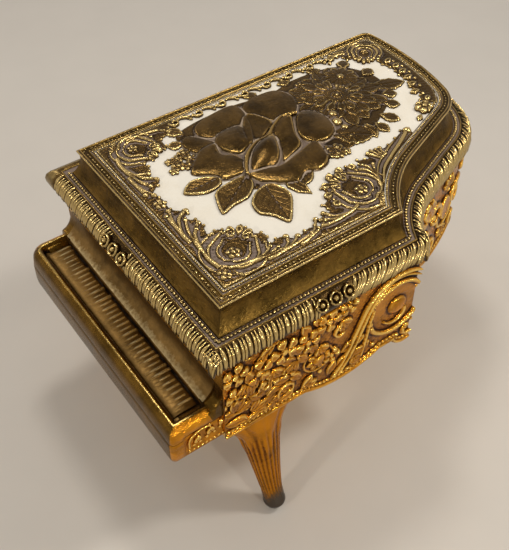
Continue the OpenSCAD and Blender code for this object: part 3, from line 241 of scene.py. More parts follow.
class Relief:
    """A carved height field on a flat ground, in millimetres, built up by stamping forms over one another."""

    def __init__(self, low, high, step):
        self.step = step
        self.xs = np.arange(low[0], high[0] + step / 2, step)
        self.ys = np.arange(low[1], high[1] + step / 2, step)
        self.h = np.zeros((len(self.xs), len(self.ys)))

    def window(self, x, y, reach):
        """The slice of the field within reach of a point, and its coordinates about that point."""
        i0, i1 = np.searchsorted(self.xs, [x - reach, x + reach])
        j0, j1 = np.searchsorted(self.ys, [y - reach, y + reach])
        u, v = np.meshgrid(self.xs[i0:i1] - x, self.ys[j0:j1] - y, indexing="ij")
        return (slice(i0, i1), slice(j0, j1)), u, v

    def lay(self, place, top, cover):
        """Lays a form over what is there, where cover is 1, and blends it in at its edge."""
        cover = np.clip(cover, 0, 1)
        self.h[place] = self.h[place] * (1 - cover) + top * cover

    def raise_to(self, place, top):
        self.h[place] = np.maximum(self.h[place], top)

    def petal(self, x, y, angle, length, width, low, high, dome=0.4, lip=0.15, full=0.6, point=0.0, vein=0.0,
              teeth=0):
        """A petal or leaf whose root is at x, y. It rises from low to high, with a dome, a raised lip and veins."""
        place, dx, dy = self.window(x, y, length + width)
        c, s = math.cos(math.radians(angle)), math.sin(math.radians(angle))
        u = (dx * c + dy * s) / length
        v = (-dx * s + dy * c) / (width / 2)
        inside = (u > 0) & (u < 1)
        uc = np.clip(u, 1e-4, 1 - 1e-4)
        half = np.sin(np.pi * uc ** (math.log(0.5) / math.log(full)))
        half = np.maximum(half, 1e-4) ** (0.55 + 0.55 * point)
        if teeth:
            half = half * (1 - 0.12 * np.abs(np.sin(np.pi * teeth * uc)))
        edge = np.where(inside, half - np.abs(v), -1)
        d = edge * width / 2
        d = np.minimum(d, np.minimum(uc, 1 - uc) * length + 0.15)
        across = np.clip(np.abs(v) / half, 0, 1)
        top = low + (high - low) * uc + dome * (1 - across ** 2) * np.sin(np.pi * uc)
        top = top + lip * np.exp(-((d - 0.55) / 0.4) ** 2)
        if vein:
            top = top - vein * np.exp(-(v * width / 2 / 0.28) ** 2)
            fan = np.abs(((np.abs(v) * width * 0.35 - u * length) / (width * 0.2)) % 1 - 0.5)
            top = top - vein * 0.5 * smoothstep(1 - fan * 5) * (across > 0.1)
        self.lay(place, top, smoothstep(d / 0.35 + 0.2) * (d > 0))

    def ball(self, x, y, r, base=0.0, squat=1.0):
        place, dx, dy = self.window(x, y, r * 1.1)
        q = 1 - (dx ** 2 + dy ** 2) / r ** 2
        top = base + squat * r * np.sqrt(np.clip(q, 0, 1))
        self.lay(place, top, (q > 0) * 1.0)

    def stroke(self, points, widths, height, base=0.0, over=False):
        """A half-round ridge along a line of points, with a half-width at each point."""
        points = np.asarray(points, float)
        widths = np.broadcast_to(np.asarray(widths, float), (len(points),))
        low, high = points.min(0) - widths.max(), points.max(0) + widths.max()
        mid = (low + high) / 2
        place, dx, dy = self.window(mid[0], mid[1], max(high - low) / 2 + self.step)
        best = np.full(dx.shape, 9.0)
        for (px, py), w in zip(points - mid, widths):
            best = np.minimum(best, np.hypot(dx - px, dy - py) / w)
        top = base + height * np.sqrt(np.clip(1 - best ** 2, 0, 1))
        if over:
            self.lay(place, top, (best < 1) * 1.0)
        else:
            self.raise_to(place, np.where(best < 1, top, 0))

    def curl(self, x, y, r0, r1, a0, a1, w0, w1, height, base=0.0, eye=0.0, over=False):
        """A ridge along a spiral about x, y, with a ball at its inner end where eye is set."""
        n = int(abs(a1 - a0) / 5) + 6
        a = np.radians(np.linspace(a0, a1, n))
        r = np.linspace(r0, r1, n)
        points = np.stack([x + r * np.cos(a), y + r * np.sin(a)], 1)
        self.stroke(points, np.linspace(w0, w1, n), height, base, over)
        if eye:
            self.ball(points[-1][0], points[-1][1], eye, base, height / eye)

    def shade(self):
        """How deep each point lies below its surroundings, 0 on crests and 1 in recesses."""
        # the gilt finishes turn this into rubbed crests with painted highlight and patina with painted shade in the
        # recesses
        near = blur(self.h, 0.42 / self.step) - self.h
        wide = blur(self.h, 1.5 / self.step) - self.h
        return np.clip(0.52 + 2.1 * near + 0.8 * np.maximum(wide, 0) + 0.15 * np.minimum(wide, 0), 0, 1)

    def mesh(self, ground, place=None, least=0.06, sink=0.05, keep=None, shade=None):
        """Closed points and faces of what stands above the ground; place maps x, y, height to the rim's frame."""
        stands = self.h > least
        cells = stands[:-1, :-1] & stands[1:, :-1] & stands[:-1, 1:] & stands[1:, 1:]
        if keep is not None:
            cells &= keep[:-1, :-1]
        keep = stands
        used = np.zeros_like(keep)
        for a in (0, 1):
            for b in (0, 1):
                used[a:a + cells.shape[0], b:b + cells.shape[1]] |= cells
        index = np.full(keep.shape, -1)
        index[used] = np.arange(used.sum())
        gx, gy = np.meshgrid(self.xs, self.ys, indexing="ij")
        flat = np.column_stack([gx[used], gy[used]])
        top = np.column_stack([flat, self.h[used] + ground])
        ci, cj = np.nonzero(cells)
        quads = np.stack([index[ci, cj], index[ci + 1, cj], index[ci + 1, cj + 1], index[ci, cj + 1]], 1)
        edges = {}
        for k in range(4):
            for a, b in zip(quads[:, k], quads[:, (k + 1) % 4]):
                if (b, a) in edges:
                    del edges[(b, a)]
                else:
                    edges[(a, b)] = True
        rim = sorted({a for a, _ in edges} | {b for _, b in edges})
        below = {v: len(top) + i for i, v in enumerate(rim)}
        foot = np.column_stack([flat[rim], np.full(len(rim), ground - sink)])
        walls = [(b, a, below[a], below[b]) for a, b in edges]
        points = np.concatenate([top, foot])
        shade = (self.shade() if shade is None else shade)[used]
        shades = np.concatenate([shade, np.ones(len(rim))])
        faces = [tuple(q) for q in quads] + walls
        if place is not None:
            points = place(points)
        return points, faces, shades

    def lobe(self, outline_points, base, tilt=(0.0, 0.0), crown=0.6, lip=0.3, lip_w=0.8, hollow=0.0, soft=0.5):
        """A petal drawn by its outline: a tilted plane with a crown or a hollow inside a raised, rolled lip."""
        ring = rounded(outline_points, 8)
        low, high = ring.min(0), ring.max(0)
        mid = (low + high) / 2
        place, dx, dy = self.window(mid[0], mid[1], max(high - low) / 2 + self.step * 2)
        px, py = dx + mid[0], dy + mid[1]
        inside, d = ring_distance(ring, px, py)
        deep = max(d[inside].max(), 0.5) if inside.any() else 1.0
        q = np.clip(d / deep, 0, 1)
        top = base + tilt[0] * dx + tilt[1] * dy + crown * np.sqrt(np.clip(q * (2 - q), 0, 1))
        top = top + lip * np.exp(-((d - lip_w * 0.6) / (lip_w * 0.5)) ** 2) - hollow * smoothstep(q)
        cover = smoothstep(d / soft + 0.15) * inside
        self.lay(place, np.maximum(top, 0.2), cover)
        return ring

    def ease(self, ring, passes):
        """Rounds off the form inside an outline and leaves its edge."""
        low, high = ring.min(0), ring.max(0)
        mid = (low + high) / 2
        place, dx, dy = self.window(mid[0], mid[1], max(high - low) / 2 + self.step * 2)
        inside, d = ring_distance(ring, dx + mid[0], dy + mid[1])
        core = inside & (d > 0.6)
        h = self.h[place].copy()
        for _ in range(passes):
            near = (np.roll(h, 1, 0) + np.roll(h, -1, 0) + np.roll(h, 1, 1) + np.roll(h, -1, 1)) / 4
            h = np.where(core, near, h)
        self.h[place] = h

    def veins(self, root, tip, spread, count, depth=0.18):
        """Fine grooves branching from a leaf's midrib."""
        root, tip = np.array(root, float), np.array(tip, float)
        run = tip - root
        side = np.array([-run[1], run[0]]) / np.linalg.norm(run)
        self.groove([root, tip], 0.32, depth * 1.4)
        for i in range(count):
            start = root + run * (0.12 + 0.7 * i / count)
            for s in (-1, 1):
                self.groove([start, start + run * 0.22 + side * s * spread * (1 - 0.6 * i / count)], 0.24, depth)

    def groove(self, points, width, depth):
        points = walk(points, self.step * 0.8)
        low, high = points.min(0) - width, points.max(0) + width
        mid = (low + high) / 2
        place, dx, dy = self.window(mid[0], mid[1], max(high - low) / 2 + self.step)
        best = np.full(dx.shape, 9.0)
        for px, py in points - mid:
            best = np.minimum(best, np.hypot(dx - px, dy - py) / width)
        here = self.h[place]
        cut = depth * np.clip(1 - best ** 2, 0, 1)
        self.h[place] = np.where(here > 0.2, np.maximum(here - cut, 0.15), here)


def walk(points, step):
    """Points no more than a step apart along a line."""
    points = np.asarray(points, float)
    out = []
    for a, b in zip(points[:-1], points[1:]):
        n = max(1, int(np.linalg.norm(b - a) / step))
        out.append(a + (b - a) * np.linspace(0, 1, n, endpoint=False)[:, None])
    return np.concatenate(out + [points[-1:]])


def rounded(points, n, closed=True):
    """A smooth curve through control points, n to a span."""
    p = np.asarray(points, float)
    count = len(p)
    spans = count if closed else count - 1
    out = []
    t = np.linspace(0, 1, n, endpoint=False)[:, None]
    for i in range(spans):
        def at(k):
            return p[k % count] if closed else p[min(max(k, 0), count - 1)]
        a, b, c, d = at(i - 1), at(i), at(i + 1), at(i + 2)
        out.append(0.5 * (2 * b + (c - a) * t + (2 * a - 5 * b + 4 * c - d) * t ** 2
                          + (3 * b - a - 3 * c + d) * t ** 3))
    if not closed:
        out.append(p[-1:])
    return np.concatenate(out)


def ring_distance(ring, px, py):
    """Which points lie inside a ring, and how far each is from its edge."""
    inside = np.zeros(px.shape, bool)
    best = np.full(px.shape, 1e9)
    for (ax, ay), (bx, by) in zip(ring, np.roll(ring, -1, 0)):
        cross = (ay > py) != (by > py)
        with np.errstate(divide="ignore", invalid="ignore"):
            at = (bx - ax) * (py - ay) / (by - ay) + ax
        inside ^= cross & (px < at)
        ux, uy = bx - ax, by - ay
        t = np.clip(((px - ax) * ux + (py - ay) * uy) / max(ux * ux + uy * uy, 1e-12), 0, 1)
        best = np.minimum(best, np.hypot(px - ax - t * ux, py - ay - t * uy))
    return inside, best


# ---- Shader maths ----
class Value:
    """A number in a shader, so that its maths can be written as Python expressions."""

    def __init__(self, tree, socket):
        self.tree = tree
        self.socket = socket

    def _maths(self, operation, *values, clamp=False):
        node = self.tree.nodes.new("ShaderNodeMath")
        node.operation = operation
        node.use_clamp = clamp
        for slot, value in zip(node.inputs, values):
            if isinstance(value, Value):
                self.tree.links.new(value.socket, slot)
            else:
                slot.default_value = value
        return Value(self.tree, node.outputs[0])

    def __add__(self, other):
        return self._maths("ADD", self, other)

    def __radd__(self, other):
        return self._maths("ADD", other, self)

    def __sub__(self, other):
        return self._maths("SUBTRACT", self, other)

    def __rsub__(self, other):
        return self._maths("SUBTRACT", other, self)

    def __mul__(self, other):
        return self._maths("MULTIPLY", self, other)

    def __rmul__(self, other):
        return self._maths("MULTIPLY", other, self)

    def __truediv__(self, other):
        return self._maths("DIVIDE", self, other)

    def __pow__(self, other):
        return self._maths("POWER", self, other)

    def clamped(self):
        return self._maths("ADD", self, 0.0, clamp=True)

    def between(self, low, high):
        """0 below low, 1 above high and smooth between."""
        t = ((self - low) / (high - low)).clamped()
        return t * t * (3.0 - 2.0 * t)


class Finish:
    """A material built node by node over a Principled shader."""

    def __init__(self, name, colour, metallic=0.0, roughness=0.5, **constants):
        self.material = bpy.data.materials.new(name)
        self.material.use_nodes = True
        self.material.diffuse_color = (*colour, 1)
        self.tree = self.material.node_tree
        self.shader = next(n for n in self.tree.nodes if n.type == "BSDF_PRINCIPLED")
        self.set("Base Color", (*colour, 1))
        self.set("Metallic", metallic)
        self.set("Roughness", roughness)
        for key, value in constants.items():
            self.set(key.replace("_", " "), value)

    def set(self, socket, value):
        self.shader.inputs[socket].default_value = value

    def node(self, kind, settings=None, **sockets):
        """A node of a type, with its settings and its socket values, which may be links."""
        node = self.tree.nodes.new(kind)
        for key, value in (settings or {}).items():
            setattr(node, key, value)
        for key, value in sockets.items():
            slot = node.inputs[key.replace("_", " ")]
            if isinstance(value, Value):
                self.tree.links.new(value.socket, slot)
            elif hasattr(value, "is_output"):
                self.tree.links.new(value, slot)
            else:
                slot.default_value = value
        return node

    def value(self, socket):
        return Value(self.tree, socket)

    def place(self):
        return self.node("ShaderNodeTexCoord").outputs["Object"]

    def noise(self, size_mm, detail=3.0, roughness=0.55, stretch=None):
        """Smooth noise of about that grain, centred on a half."""
        place = self.place()
        if stretch:
            place = self.node("ShaderNodeMapping", Vector=place, Scale=stretch).outputs[0]
        node = self.node("ShaderNodeTexNoise", Vector=place, Scale=1 / (size_mm * MM), Detail=detail,
                         Roughness=roughness)
        return self.value(node.outputs[0])

    def cells(self, size_mm, output="Distance", **settings):
        node = self.node("ShaderNodeTexVoronoi", settings, Vector=self.place(), Scale=1 / (size_mm * MM))
        return self.value(node.outputs[output])

    def shade(self, name):
        return self.value(self.node("ShaderNodeAttribute", {"attribute_name": name}).outputs["Fac"])

    def mix(self, factor, low, high):
        """A colour between two, which may be links."""
        node = self.tree.nodes.new("ShaderNodeMix")
        node.data_type = "RGBA"
        slots = [s for s in node.inputs if s.enabled]
        for slot, value in zip(slots, (factor, low, high)):
            if isinstance(value, Value):
                self.tree.links.new(value.socket, slot)
            elif hasattr(value, "is_output"):
                self.tree.links.new(value, slot)
            else:
                slot.default_value = (*value, 1) if isinstance(value, tuple) and len(value) == 3 else value
        return next(s for s in node.outputs if s.enabled)

    def link(self, socket, value):
        self.tree.links.new(value.socket if isinstance(value, Value) else value, self.shader.inputs[socket])

    def bump(self, height, depth_mm, strength=1.0):
        node = self.node("ShaderNodeBump", Strength=strength, Distance=depth_mm * MM, Height=height)
        self.link("Normal", node.outputs[0])


def rgb(colour):
    """A display colour, 0 to 1, as the linear colour that a shader takes."""
    return tuple(c / 12.92 if c <= 0.04045 else ((c + 0.055) / 1.055) ** 2.4 for c in colour)


def gilt_finish(name, tones, rough, crest_rough, wax_amount, wax, patina, crest_from, uneven):
    """Cast gilt metal in four tones, from rubbed crests with a painted highlight to grime and painted shade in its
    folds, with wax left in the deepest.

    The depth attribute is 0 on crests, a half on open faces and 1 in recesses.
    """
    crest, open_face, hollow, grime_and_shade = (rgb(colour) for colour in tones)
    finish = Finish(name, crest, 1.0, rough)
    depth = finish.shade("depth")
    blotch = finish.noise(8.0, 4.0, 0.6)
    speck = finish.noise(1.1, 3.0, 0.6)
    grain = finish.noise(0.28, 2.0, 0.5)
    dark = tuple(c * 0.55 for c in open_face)
    light = tuple(min(1.0, c * 1.5) for c in open_face)
    clouds = (((blotch - 0.5) * 2.6 + (speck - 0.5) * 0.7) * patina + 0.5).clamped()
    face = finish.mix(clouds, dark, light)
    # crests take the crest tone: rubbed wear that also serves as a painted highlight
    rubbed_and_highlit = ((crest_from - depth) * 3.4 + (speck - 0.5) * 0.8).clamped()
    # recesses take the hollow tone: patina darkened further as painted shade
    sunk_patina_and_shade = (depth + (speck - 0.5) * 0.28 + (blotch - 0.5) * 0.15).between(0.54, 0.84)
    metal = finish.mix(sunk_patina_and_shade, finish.mix(rubbed_and_highlit, face, crest), hollow)
    # the deepest folds take the darkest tone: grime and painted shade
    metal = finish.mix((depth + (grain - 0.5) * 0.2).between(0.80, 1.0), metal, grime_and_shade)
    residue = (depth + (speck - 0.5) * 0.42 + (blotch - 0.5) * 0.3).between(0.78, 0.98) * wax_amount
    finish.link("Base Color", finish.mix(residue, metal, rgb(wax)))
    finish.link("Metallic", (1.0 - residue * 0.9).clamped())
    finish.link("Roughness", (rough + (crest_rough - rough) * rubbed_and_highlit + (grain - 0.5) * 0.18 + residue * 0.35
                              + (blotch - 0.5) * 0.14).clamped())
    finish.bump(grain * 0.4 + speck + blotch * 1.5, uneven, 0.8)
    return finish.material


# ---- Rows of like parts along a path, made with Geometry Nodes ----
def row_tree():
    """A node tree that stands copies of a part along a path, turned to follow it, and gives them a finish."""
    tree = bpy.data.node_groups.new("row_along_path", "GeometryNodeTree")
    face = tree.interface
    for name, kind in (("Path", "Geometry"), ("Part", "Object"), ("Pitch", "Float"), ("Variation", "Float"),
                       ("Seed", "Int"), ("Finish", "Material")):
        face.new_socket(name, in_out="INPUT", socket_type="NodeSocket" + kind)
    face.new_socket("Row", in_out="OUTPUT", socket_type="NodeSocketGeometry")
    nodes, links = tree.nodes, tree.links
    start = nodes.new("NodeGroupInput")
    curve = nodes.new("GeometryNodeMeshToCurve")
    even = nodes.new("GeometryNodeResampleCurve")
    tangent = nodes.new("GeometryNodeInputTangent")
    turn = nodes.new("FunctionNodeAlignRotationToVector")
    part = nodes.new("GeometryNodeObjectInfo")
    vary = nodes.new("FunctionNodeRandomValue")
    least = nodes.new("ShaderNodeMath")
    most = nodes.new("ShaderNodeMath")
    stand = nodes.new("GeometryNodeInstanceOnPoints")
    real = nodes.new("GeometryNodeRealizeInstances")
    finish = nodes.new("GeometryNodeSetMaterial")
    end = nodes.new("NodeGroupOutput")
    if hasattr(even, "mode"):
        even.mode = "LENGTH"
    turn.axis = "X"
    turn.pivot_axis = "Z"
    vary.data_type = "FLOAT"
    least.operation = "SUBTRACT"
    most.operation = "ADD"
    least.inputs[0].default_value = most.inputs[0].default_value = 1.0
    numbers = [s for s in vary.inputs if s.enabled]
    links.new(start.outputs["Path"], curve.inputs[0])
    links.new(curve.outputs[0], even.inputs["Curve"])
    links.new(start.outputs["Pitch"], even.inputs["Length"])
    links.new(tangent.outputs[0], turn.inputs["Vector"])
    links.new(start.outputs["Part"], part.inputs["Object"])
    links.new(start.outputs["Variation"], least.inputs[1])
    links.new(start.outputs["Variation"], most.inputs[1])
    links.new(least.outputs[0], numbers[0])
    links.new(most.outputs[0], numbers[1])
    links.new(start.outputs["Seed"], vary.inputs["Seed"])
    links.new(even.outputs[0], stand.inputs["Points"])
    links.new(part.outputs["Geometry"], stand.inputs["Instance"])
    links.new(turn.outputs[0], stand.inputs["Rotation"])
    links.new(next(s for s in vary.outputs if s.enabled), stand.inputs["Scale"])
    links.new(stand.outputs[0], real.inputs[0])
    links.new(real.outputs[0], finish.inputs["Geometry"])
    links.new(start.outputs["Finish"], finish.inputs["Material"])
    links.new(finish.outputs[0], end.inputs[0])
    return tree


def stand_row(name, paths, part_points, part_faces, part_depth, pitch_mm, material, body, variation=0.0,
              seed=1, smooth=60.0):
    """Copies of a part along one or more paths, as one plain mesh. A path is points, and whether it closes."""
    holder = bpy.data.meshes.new(name + "_part")
    holder.from_pydata([tuple(np.asarray(p) * MM) for p in part_points], [], part_faces)
    holder.attributes.new("depth", "FLOAT", "POINT").data.foreach_set("value", np.asarray(part_depth, np.float32))
    part = bpy.data.objects.new(name + "_part", holder)
    points, edges = [], []
    for path, closed in paths:
        n, k = len(path), len(points)
        points += [tuple(p) for p in to_frame(path)]
        edges += [(k + i, k + i + 1) for i in range(n - 1)] + ([(k + n - 1, k)] if closed else [])
    mesh = bpy.data.meshes.new(name + "_path")
    mesh.from_pydata(points, edges, [])
    row = bpy.data.objects.new(name, mesh)
    scene = bpy.context.scene
    scene.collection.objects.link(row)
    scene.collection.objects.link(part)
    tree = bpy.data.node_groups.get("row_along_path") or row_tree()
    modifier = row.modifiers.new("row", "NODES")
    modifier.node_group = tree
    named = {item.name: item.identifier for item in tree.interface.items_tree if item.in_out == "INPUT"}
    modifier[named["Part"]] = part
    modifier[named["Pitch"]] = pitch_mm * MM
    modifier[named["Variation"]] = variation
    modifier[named["Seed"]] = seed
    modifier[named["Finish"]] = material
    settle_modifier(row)
    bpy.data.objects.remove(part)
    finish_piece(row, material, body, smooth)
    return row


def settle_modifier(piece):
    """Turns a piece's modifiers into its plain mesh."""
    graph = bpy.context.evaluated_depsgraph_get()
    graph.update()
    mesh = bpy.data.meshes.new_from_object(piece.evaluated_get(graph), preserve_all_data_layers=True, depsgraph=graph)
    piece.modifiers.clear()
    piece.data = mesh
    mesh.name = piece.name


def bead(r, rings=4, around=8, low=-0.3):
    """A round bead standing on the ground, with its poles closed."""
    points, faces, depth = [], [], []
    for i in range(rings):
        t = low + (1 - low) * i / rings
        a = math.asin(max(-1.0, min(1.0, t)))
        for j in range(around):
            b = 2 * math.pi * j / around
            points.append((r * math.cos(a) * math.cos(b), r * math.cos(a) * math.sin(b), r * math.sin(a)))
            # the bead's top is light as a rubbed crest with painted highlight, its foot ring dark as painted shade
            # where it meets the ground
            depth.append(0.95 if i == 0 else max(0.0, 0.75 - 0.9 * t))
    for i in range(rings - 1):
        for j in range(around):
            k = (j + 1) % around
            faces.append((i * around + j, i * around + k, (i + 1) * around + k, (i + 1) * around + j))
    top = len(points)
    points.append((0, 0, r))
    depth.append(0.0)
    last = (rings - 1) * around
    faces += [(last + j, last + (j + 1) % around, top) for j in range(around)]
    faces.append(tuple(range(around - 1, -1, -1)))
    return points, faces, depth


def tube(spine, radii, around=8, squash=1.0, closed_ends=True):
    """A round-ended tube along a spine of points, for gadroon lobes and scrolls."""
    spine = np.asarray(spine, float)
    radii = np.asarray(radii, float)
    along = np.gradient(spine, axis=0)
    along /= np.linalg.norm(along, axis=1)[:, None]
    side = np.cross(along, np.array([0.0, 0.0, 1.0]))
    weak = np.linalg.norm(side, axis=1) < 1e-3
    side[weak] = np.array([1.0, 0.0, 0.0])
    side /= np.linalg.norm(side, axis=1)[:, None]
    up = np.cross(side, along)
    a = 2 * math.pi * np.arange(around) / around
    points = (spine[:, None] + radii[:, None, None] * (np.cos(a)[None, :, None] * side[:, None]
              + squash * np.sin(a)[None, :, None] * up[:, None])).reshape(-1, 3)
    faces = [tuple(f) for f in ring_faces(len(spine), around)]
    if closed_ends:
        faces.append(tuple(range(around - 1, -1, -1)))
        faces.append(tuple(range((len(spine) - 1) * around, len(spine) * around)))
    return points, faces, up, a


# ---- The lid ----
RIM_STEP = 0.9
COVE_FOOT = 7.3
COVE_TOP = TOP_INSET
SPINE_PLAIN = 6.0
HINGE_LOW, HINGE_HIGH = box_mm("lid_hinge_leaves")
LINING_LOW, LINING_HIGH = box_mm("lid_lining")
CAVITY_INSET = LINING_LOW[0] - RIM_LOW[0] - 0.2
CAVITY_TOP = LINING_HIGH[2]


def cove_section(n):
    """The hollow sweep from the rim up to the top plate, with a rolled lip at its head."""
    t = np.linspace(0, 1, n)
    rise = PLATE_Z - 0.6 - (RIM_Z + 1.2)
    inset = COVE_FOOT + (COVE_TOP + 0.5 - COVE_FOOT) * np.sin(math.pi / 2 * t) - 0.5 * t ** 6
    return [(i, RIM_Z + 1.2 + rise * k ** 1.15, 0.50 - 0.25 * k) for i, k in zip(inset, t)]


def shell_section():
    """The lid's section from the hollow's ceiling, out under the rim and up over the cove: inset, height, depth."""
    flange = 5.4
    return [
        (CAVITY_INSET, CAVITY_TOP, 0.6), (CAVITY_INSET, LID_Z + 7.7, 0.7), (flange, LID_Z + 1.8, 0.6),
        (flange, LID_Z, 0.3), (1.6, LID_Z, 0.3), (1.6, LID_Z + 1.2, 0.6), (4.1, RIM_Z + 0.85, 0.9),
        (4.25, RIM_Z + 1.05, 0.5), (4.45, RIM_Z + 1.12, 0.1), (4.65, RIM_Z + 1.05, 0.5), (4.85, RIM_Z + 0.72, 0.98),
        (5.2, RIM_Z + 0.62, 0.98), (6.9, RIM_Z + 0.66, 0.98), (7.0, RIM_Z + 0.95, 0.6), (7.1, RIM_Z + 1.15, 0.15),
        (7.2, RIM_Z + 1.1, 0.55),
    ] + cove_section(16) + [
        (9.25, PLATE_Z - 0.55, 0.5), (9.0, PLATE_Z - 0.35, 0.1), (8.9, PLATE_Z - 0.1, 0.0), (9.0, PLATE_Z + 0.15, 0.0),
        (9.25, PLATE_Z + 0.28, 0.1), (9.45, PLATE_Z + 0.15, 0.75), (9.6, PLATE_Z + 0.12, 0.95),
        (9.75, PLATE_Z + 0.5, 0.3), (9.95, PLATE_Z + 0.62, 0.05), (10.15, PLATE_Z + 0.5, 0.4),
        (10.3, PLATE_Z + 0.18, 0.76), (11.7, PLATE_Z + 0.18, 0.74), (11.85, PLATE_Z + 0.5, 0.4),
        (12.05, PLATE_Z + 0.66, 0.05), (12.25, PLATE_Z + 0.5, 0.6), (12.4, PLATE_Z + 0.3, 0.99),
        (13.5, PLATE_Z + 0.3, 0.99), (13.6, ENAMEL_Z + 0.12, 0.6), (13.72, ENAMEL_Z + 0.16, 0.3),
        (13.9, ENAMEL_Z + 0.02, 0.9), (14.0, PLATE_Z, 0.9),
    ]


def build_lid_shell(finish):
    """The lid's smooth casting: rim, cove, lip and the flat border round the top."""
    section = shell_section()
    rings, depth = [], []
    for inset, z, shade in section:
        ring = outline(inset, RIM_STEP, 1.0)
        zs = np.full(len(ring), z)
        if abs(z - LID_Z) < 0.01:
            leaf_z = HINGE_LOW[2] + 0.8
            on_spine = ring[:, 0] < 5.0 + inset * 0.1
            y = ring[:, 1]
            low, high = HINGE_LOW[1] - RIM_LOW[1], HINGE_HIGH[1] - RIM_LOW[1]
            length = 16.0
            at_leaf = ((y > low) & (y < low + length)) | ((y > high - length) & (y < high))
            zs[on_spine & at_leaf] = leaf_z
        rings.append(at_height(ring, zs))
        depth += [shade] * len(ring)
    points, faces = loft(rings)
    piece = make_piece("lid_casting", points, faces, finish, "lid", 50.0, {"depth": depth})
    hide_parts("lid_shell", "lid_top_border")


def build_rim_strip(finish):
    """The moulding that carries the gadroons, plain and rounded along the hinge side."""
    recessed = [(1.55, LID_Z + 0.2), (0.85, LID_Z + 0.2), (0.6, LID_Z + 0.8), (0.55, LID_Z + 2.4), (1.0, LID_Z + 3.9),
                (2.1, LID_Z + 5.2), (3.4, LID_Z + 5.85), (4.15, LID_Z + 5.9), (1.6, LID_Z + 1.3)]
    plain = [(1.55, LID_Z + 0.2), (0.5, LID_Z + 0.2), (0.15, LID_Z + 0.8), (0.0, LID_Z + 2.4), (0.5, LID_Z + 4.1),
             (1.7, LID_Z + 5.6), (3.2, LID_Z + 6.3), (4.15, LID_Z + 6.1), (1.6, LID_Z + 1.3)]
    rings, depth = [], []
    for k, (a, b) in enumerate(zip(recessed, plain)):
        low, high = outline(a[0], RIM_STEP), outline(b[0], RIM_STEP)
        mix = smoothstep((SPINE_PLAIN + 0.4 - high[:, 0]) / 0.8)[:, None]
        ring = low * (1 - mix) + high * mix
        rings.append(at_height(ring, a[1] + (b[1] - a[1]) * mix[:, 0]))
        depth += list(0.74 * (1 - mix[:, 0]) + (0.25 if 2 <= k <= 6 else 0.6) * mix[:, 0])
    n = len(rings[0])
    faces = [tuple(f) for f in ring_faces(len(rings), n, closed_rows=True)]
    piece = make_piece("rim_moulding", np.concatenate(rings), faces, finish, "lid", 60.0,
                       {"depth": depth}, turn_out=True)
    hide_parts("lid_gadroon_border")


def gadroon_part(lean):
    """One group of the gadrooned edge: a full lobe and two thin reeds, from the foot of the rim to the bead channel."""
    stations = [(0.80, 0.35, 0.38), (0.86, 0.9, 0.68), (0.93, 2.0, 0.86), (1.10, 3.1, 0.88), (1.42, 4.1, 0.84),
                (1.92, 5.0, 0.74), (2.72, 5.6, 0.56), (3.4, 5.92, 0.38), (3.9, 6.0, 0.2)]
    away = np.array([0.0, -1.0, 0.55]) / math.hypot(1.0, 0.55)
    all_points, all_faces, all_depth = [], [], []
    for shift, share in ((-0.95, 1.12), (0.62, 0.58), (1.62, 0.58)):
        spine = [(shift + lean * 2.6 * (z / 6.0) ** 1.3 - lean * 1.3, inset + 0.15 - 0.42 * (share < 1),
                  LID_Z + z - RIM_Z)
                 for inset, z, _ in stations]
        points, faces, _, _ = tube(spine, [r * share for _, _, r in stations], 8, 0.8 if share > 1 else 1.25)
        points = np.asarray(points)
        depth = np.full(len(points), 0.6)
        # depth paints the lobes' outer, upper sides as rubbed crests with painted highlight and their lower part near
        # the rim's foot as painted shade
        for i, (_, z, r) in enumerate(stations):
            lift = (points[i * 8:(i + 1) * 8] - np.asarray(spine[i])) @ away / max(r * share, 0.1)
            depth[i * 8:(i + 1) * 8] = np.clip(0.56 - 0.9 * lift + 0.6 * max(0.0, 1 - z / 2.6), 0, 1)
        all_faces += [tuple(v + len(all_points) for v in face) for face in faces]
        all_points += [tuple(p) for p in points]
        all_depth += list(depth)
    return all_points, all_faces, all_depth


# Where the rows of three paterae stand on the front and treble sides, and half the length that each takes
PATERAE_X = 45.0
PATERAE_Y = 43.0
PATERAE_HALF = 7.0


def rim_paths():
    """The gadroons' paths: the front edge's two halves, the treble side and the rest round to the tail."""
    ring = outline(0.0, 0.6)
    corner = int(np.argmin(np.linalg.norm(ring - np.array([RIM_W, 0.0]), axis=1)))
    front = ring[:corner + 1]
    front = front[(front[:, 0] > SPINE_PLAIN + 0.8) & (front[:, 0] < RIM_W - 1.6)]
    side = ring[corner:]
    side = side[(side[:, 0] > SPINE_PLAIN + 0.8) & ~((side[:, 1] < 1.6) & (side[:, 0] > RIM_W - 3))]
    paths = []
    for path, along, middle in ((front, 0, PATERAE_X), (side, 1, PATERAE_Y)):
        end, start = (int(np.argmax(path[:, along] > middle + half)) for half in (-PATERAE_HALF, PATERAE_HALF))
        paths += [path[:end], path[start:]]
    return [at_height(path, RIM_Z) for path in paths]


def build_gadroons(finish, pitch):
    """Gadroons that lean away from the corner by the keys on each stretch, upright beside it."""
    names = ("gadroons_bass", "gadroons_front", "gadroons_treble", "gadroons_round")
    for name, path, lean in zip(names, rim_paths(), (0.5, 0.0, 0.2, 1.7)):
        points, faces, depth = gadroon_part(lean)
        stand_row(name, [(path, False)], points, faces, depth, pitch, finish, "lid", 0.06, 3, 70.0)


# How far inside the rim's outline the rows stand: the channel's beads, the border's motifs and the fine beads
CHANNEL_INSET = 6.05
MOTIF_INSET = 11.0
FINE_BEAD_INSET = 12.98


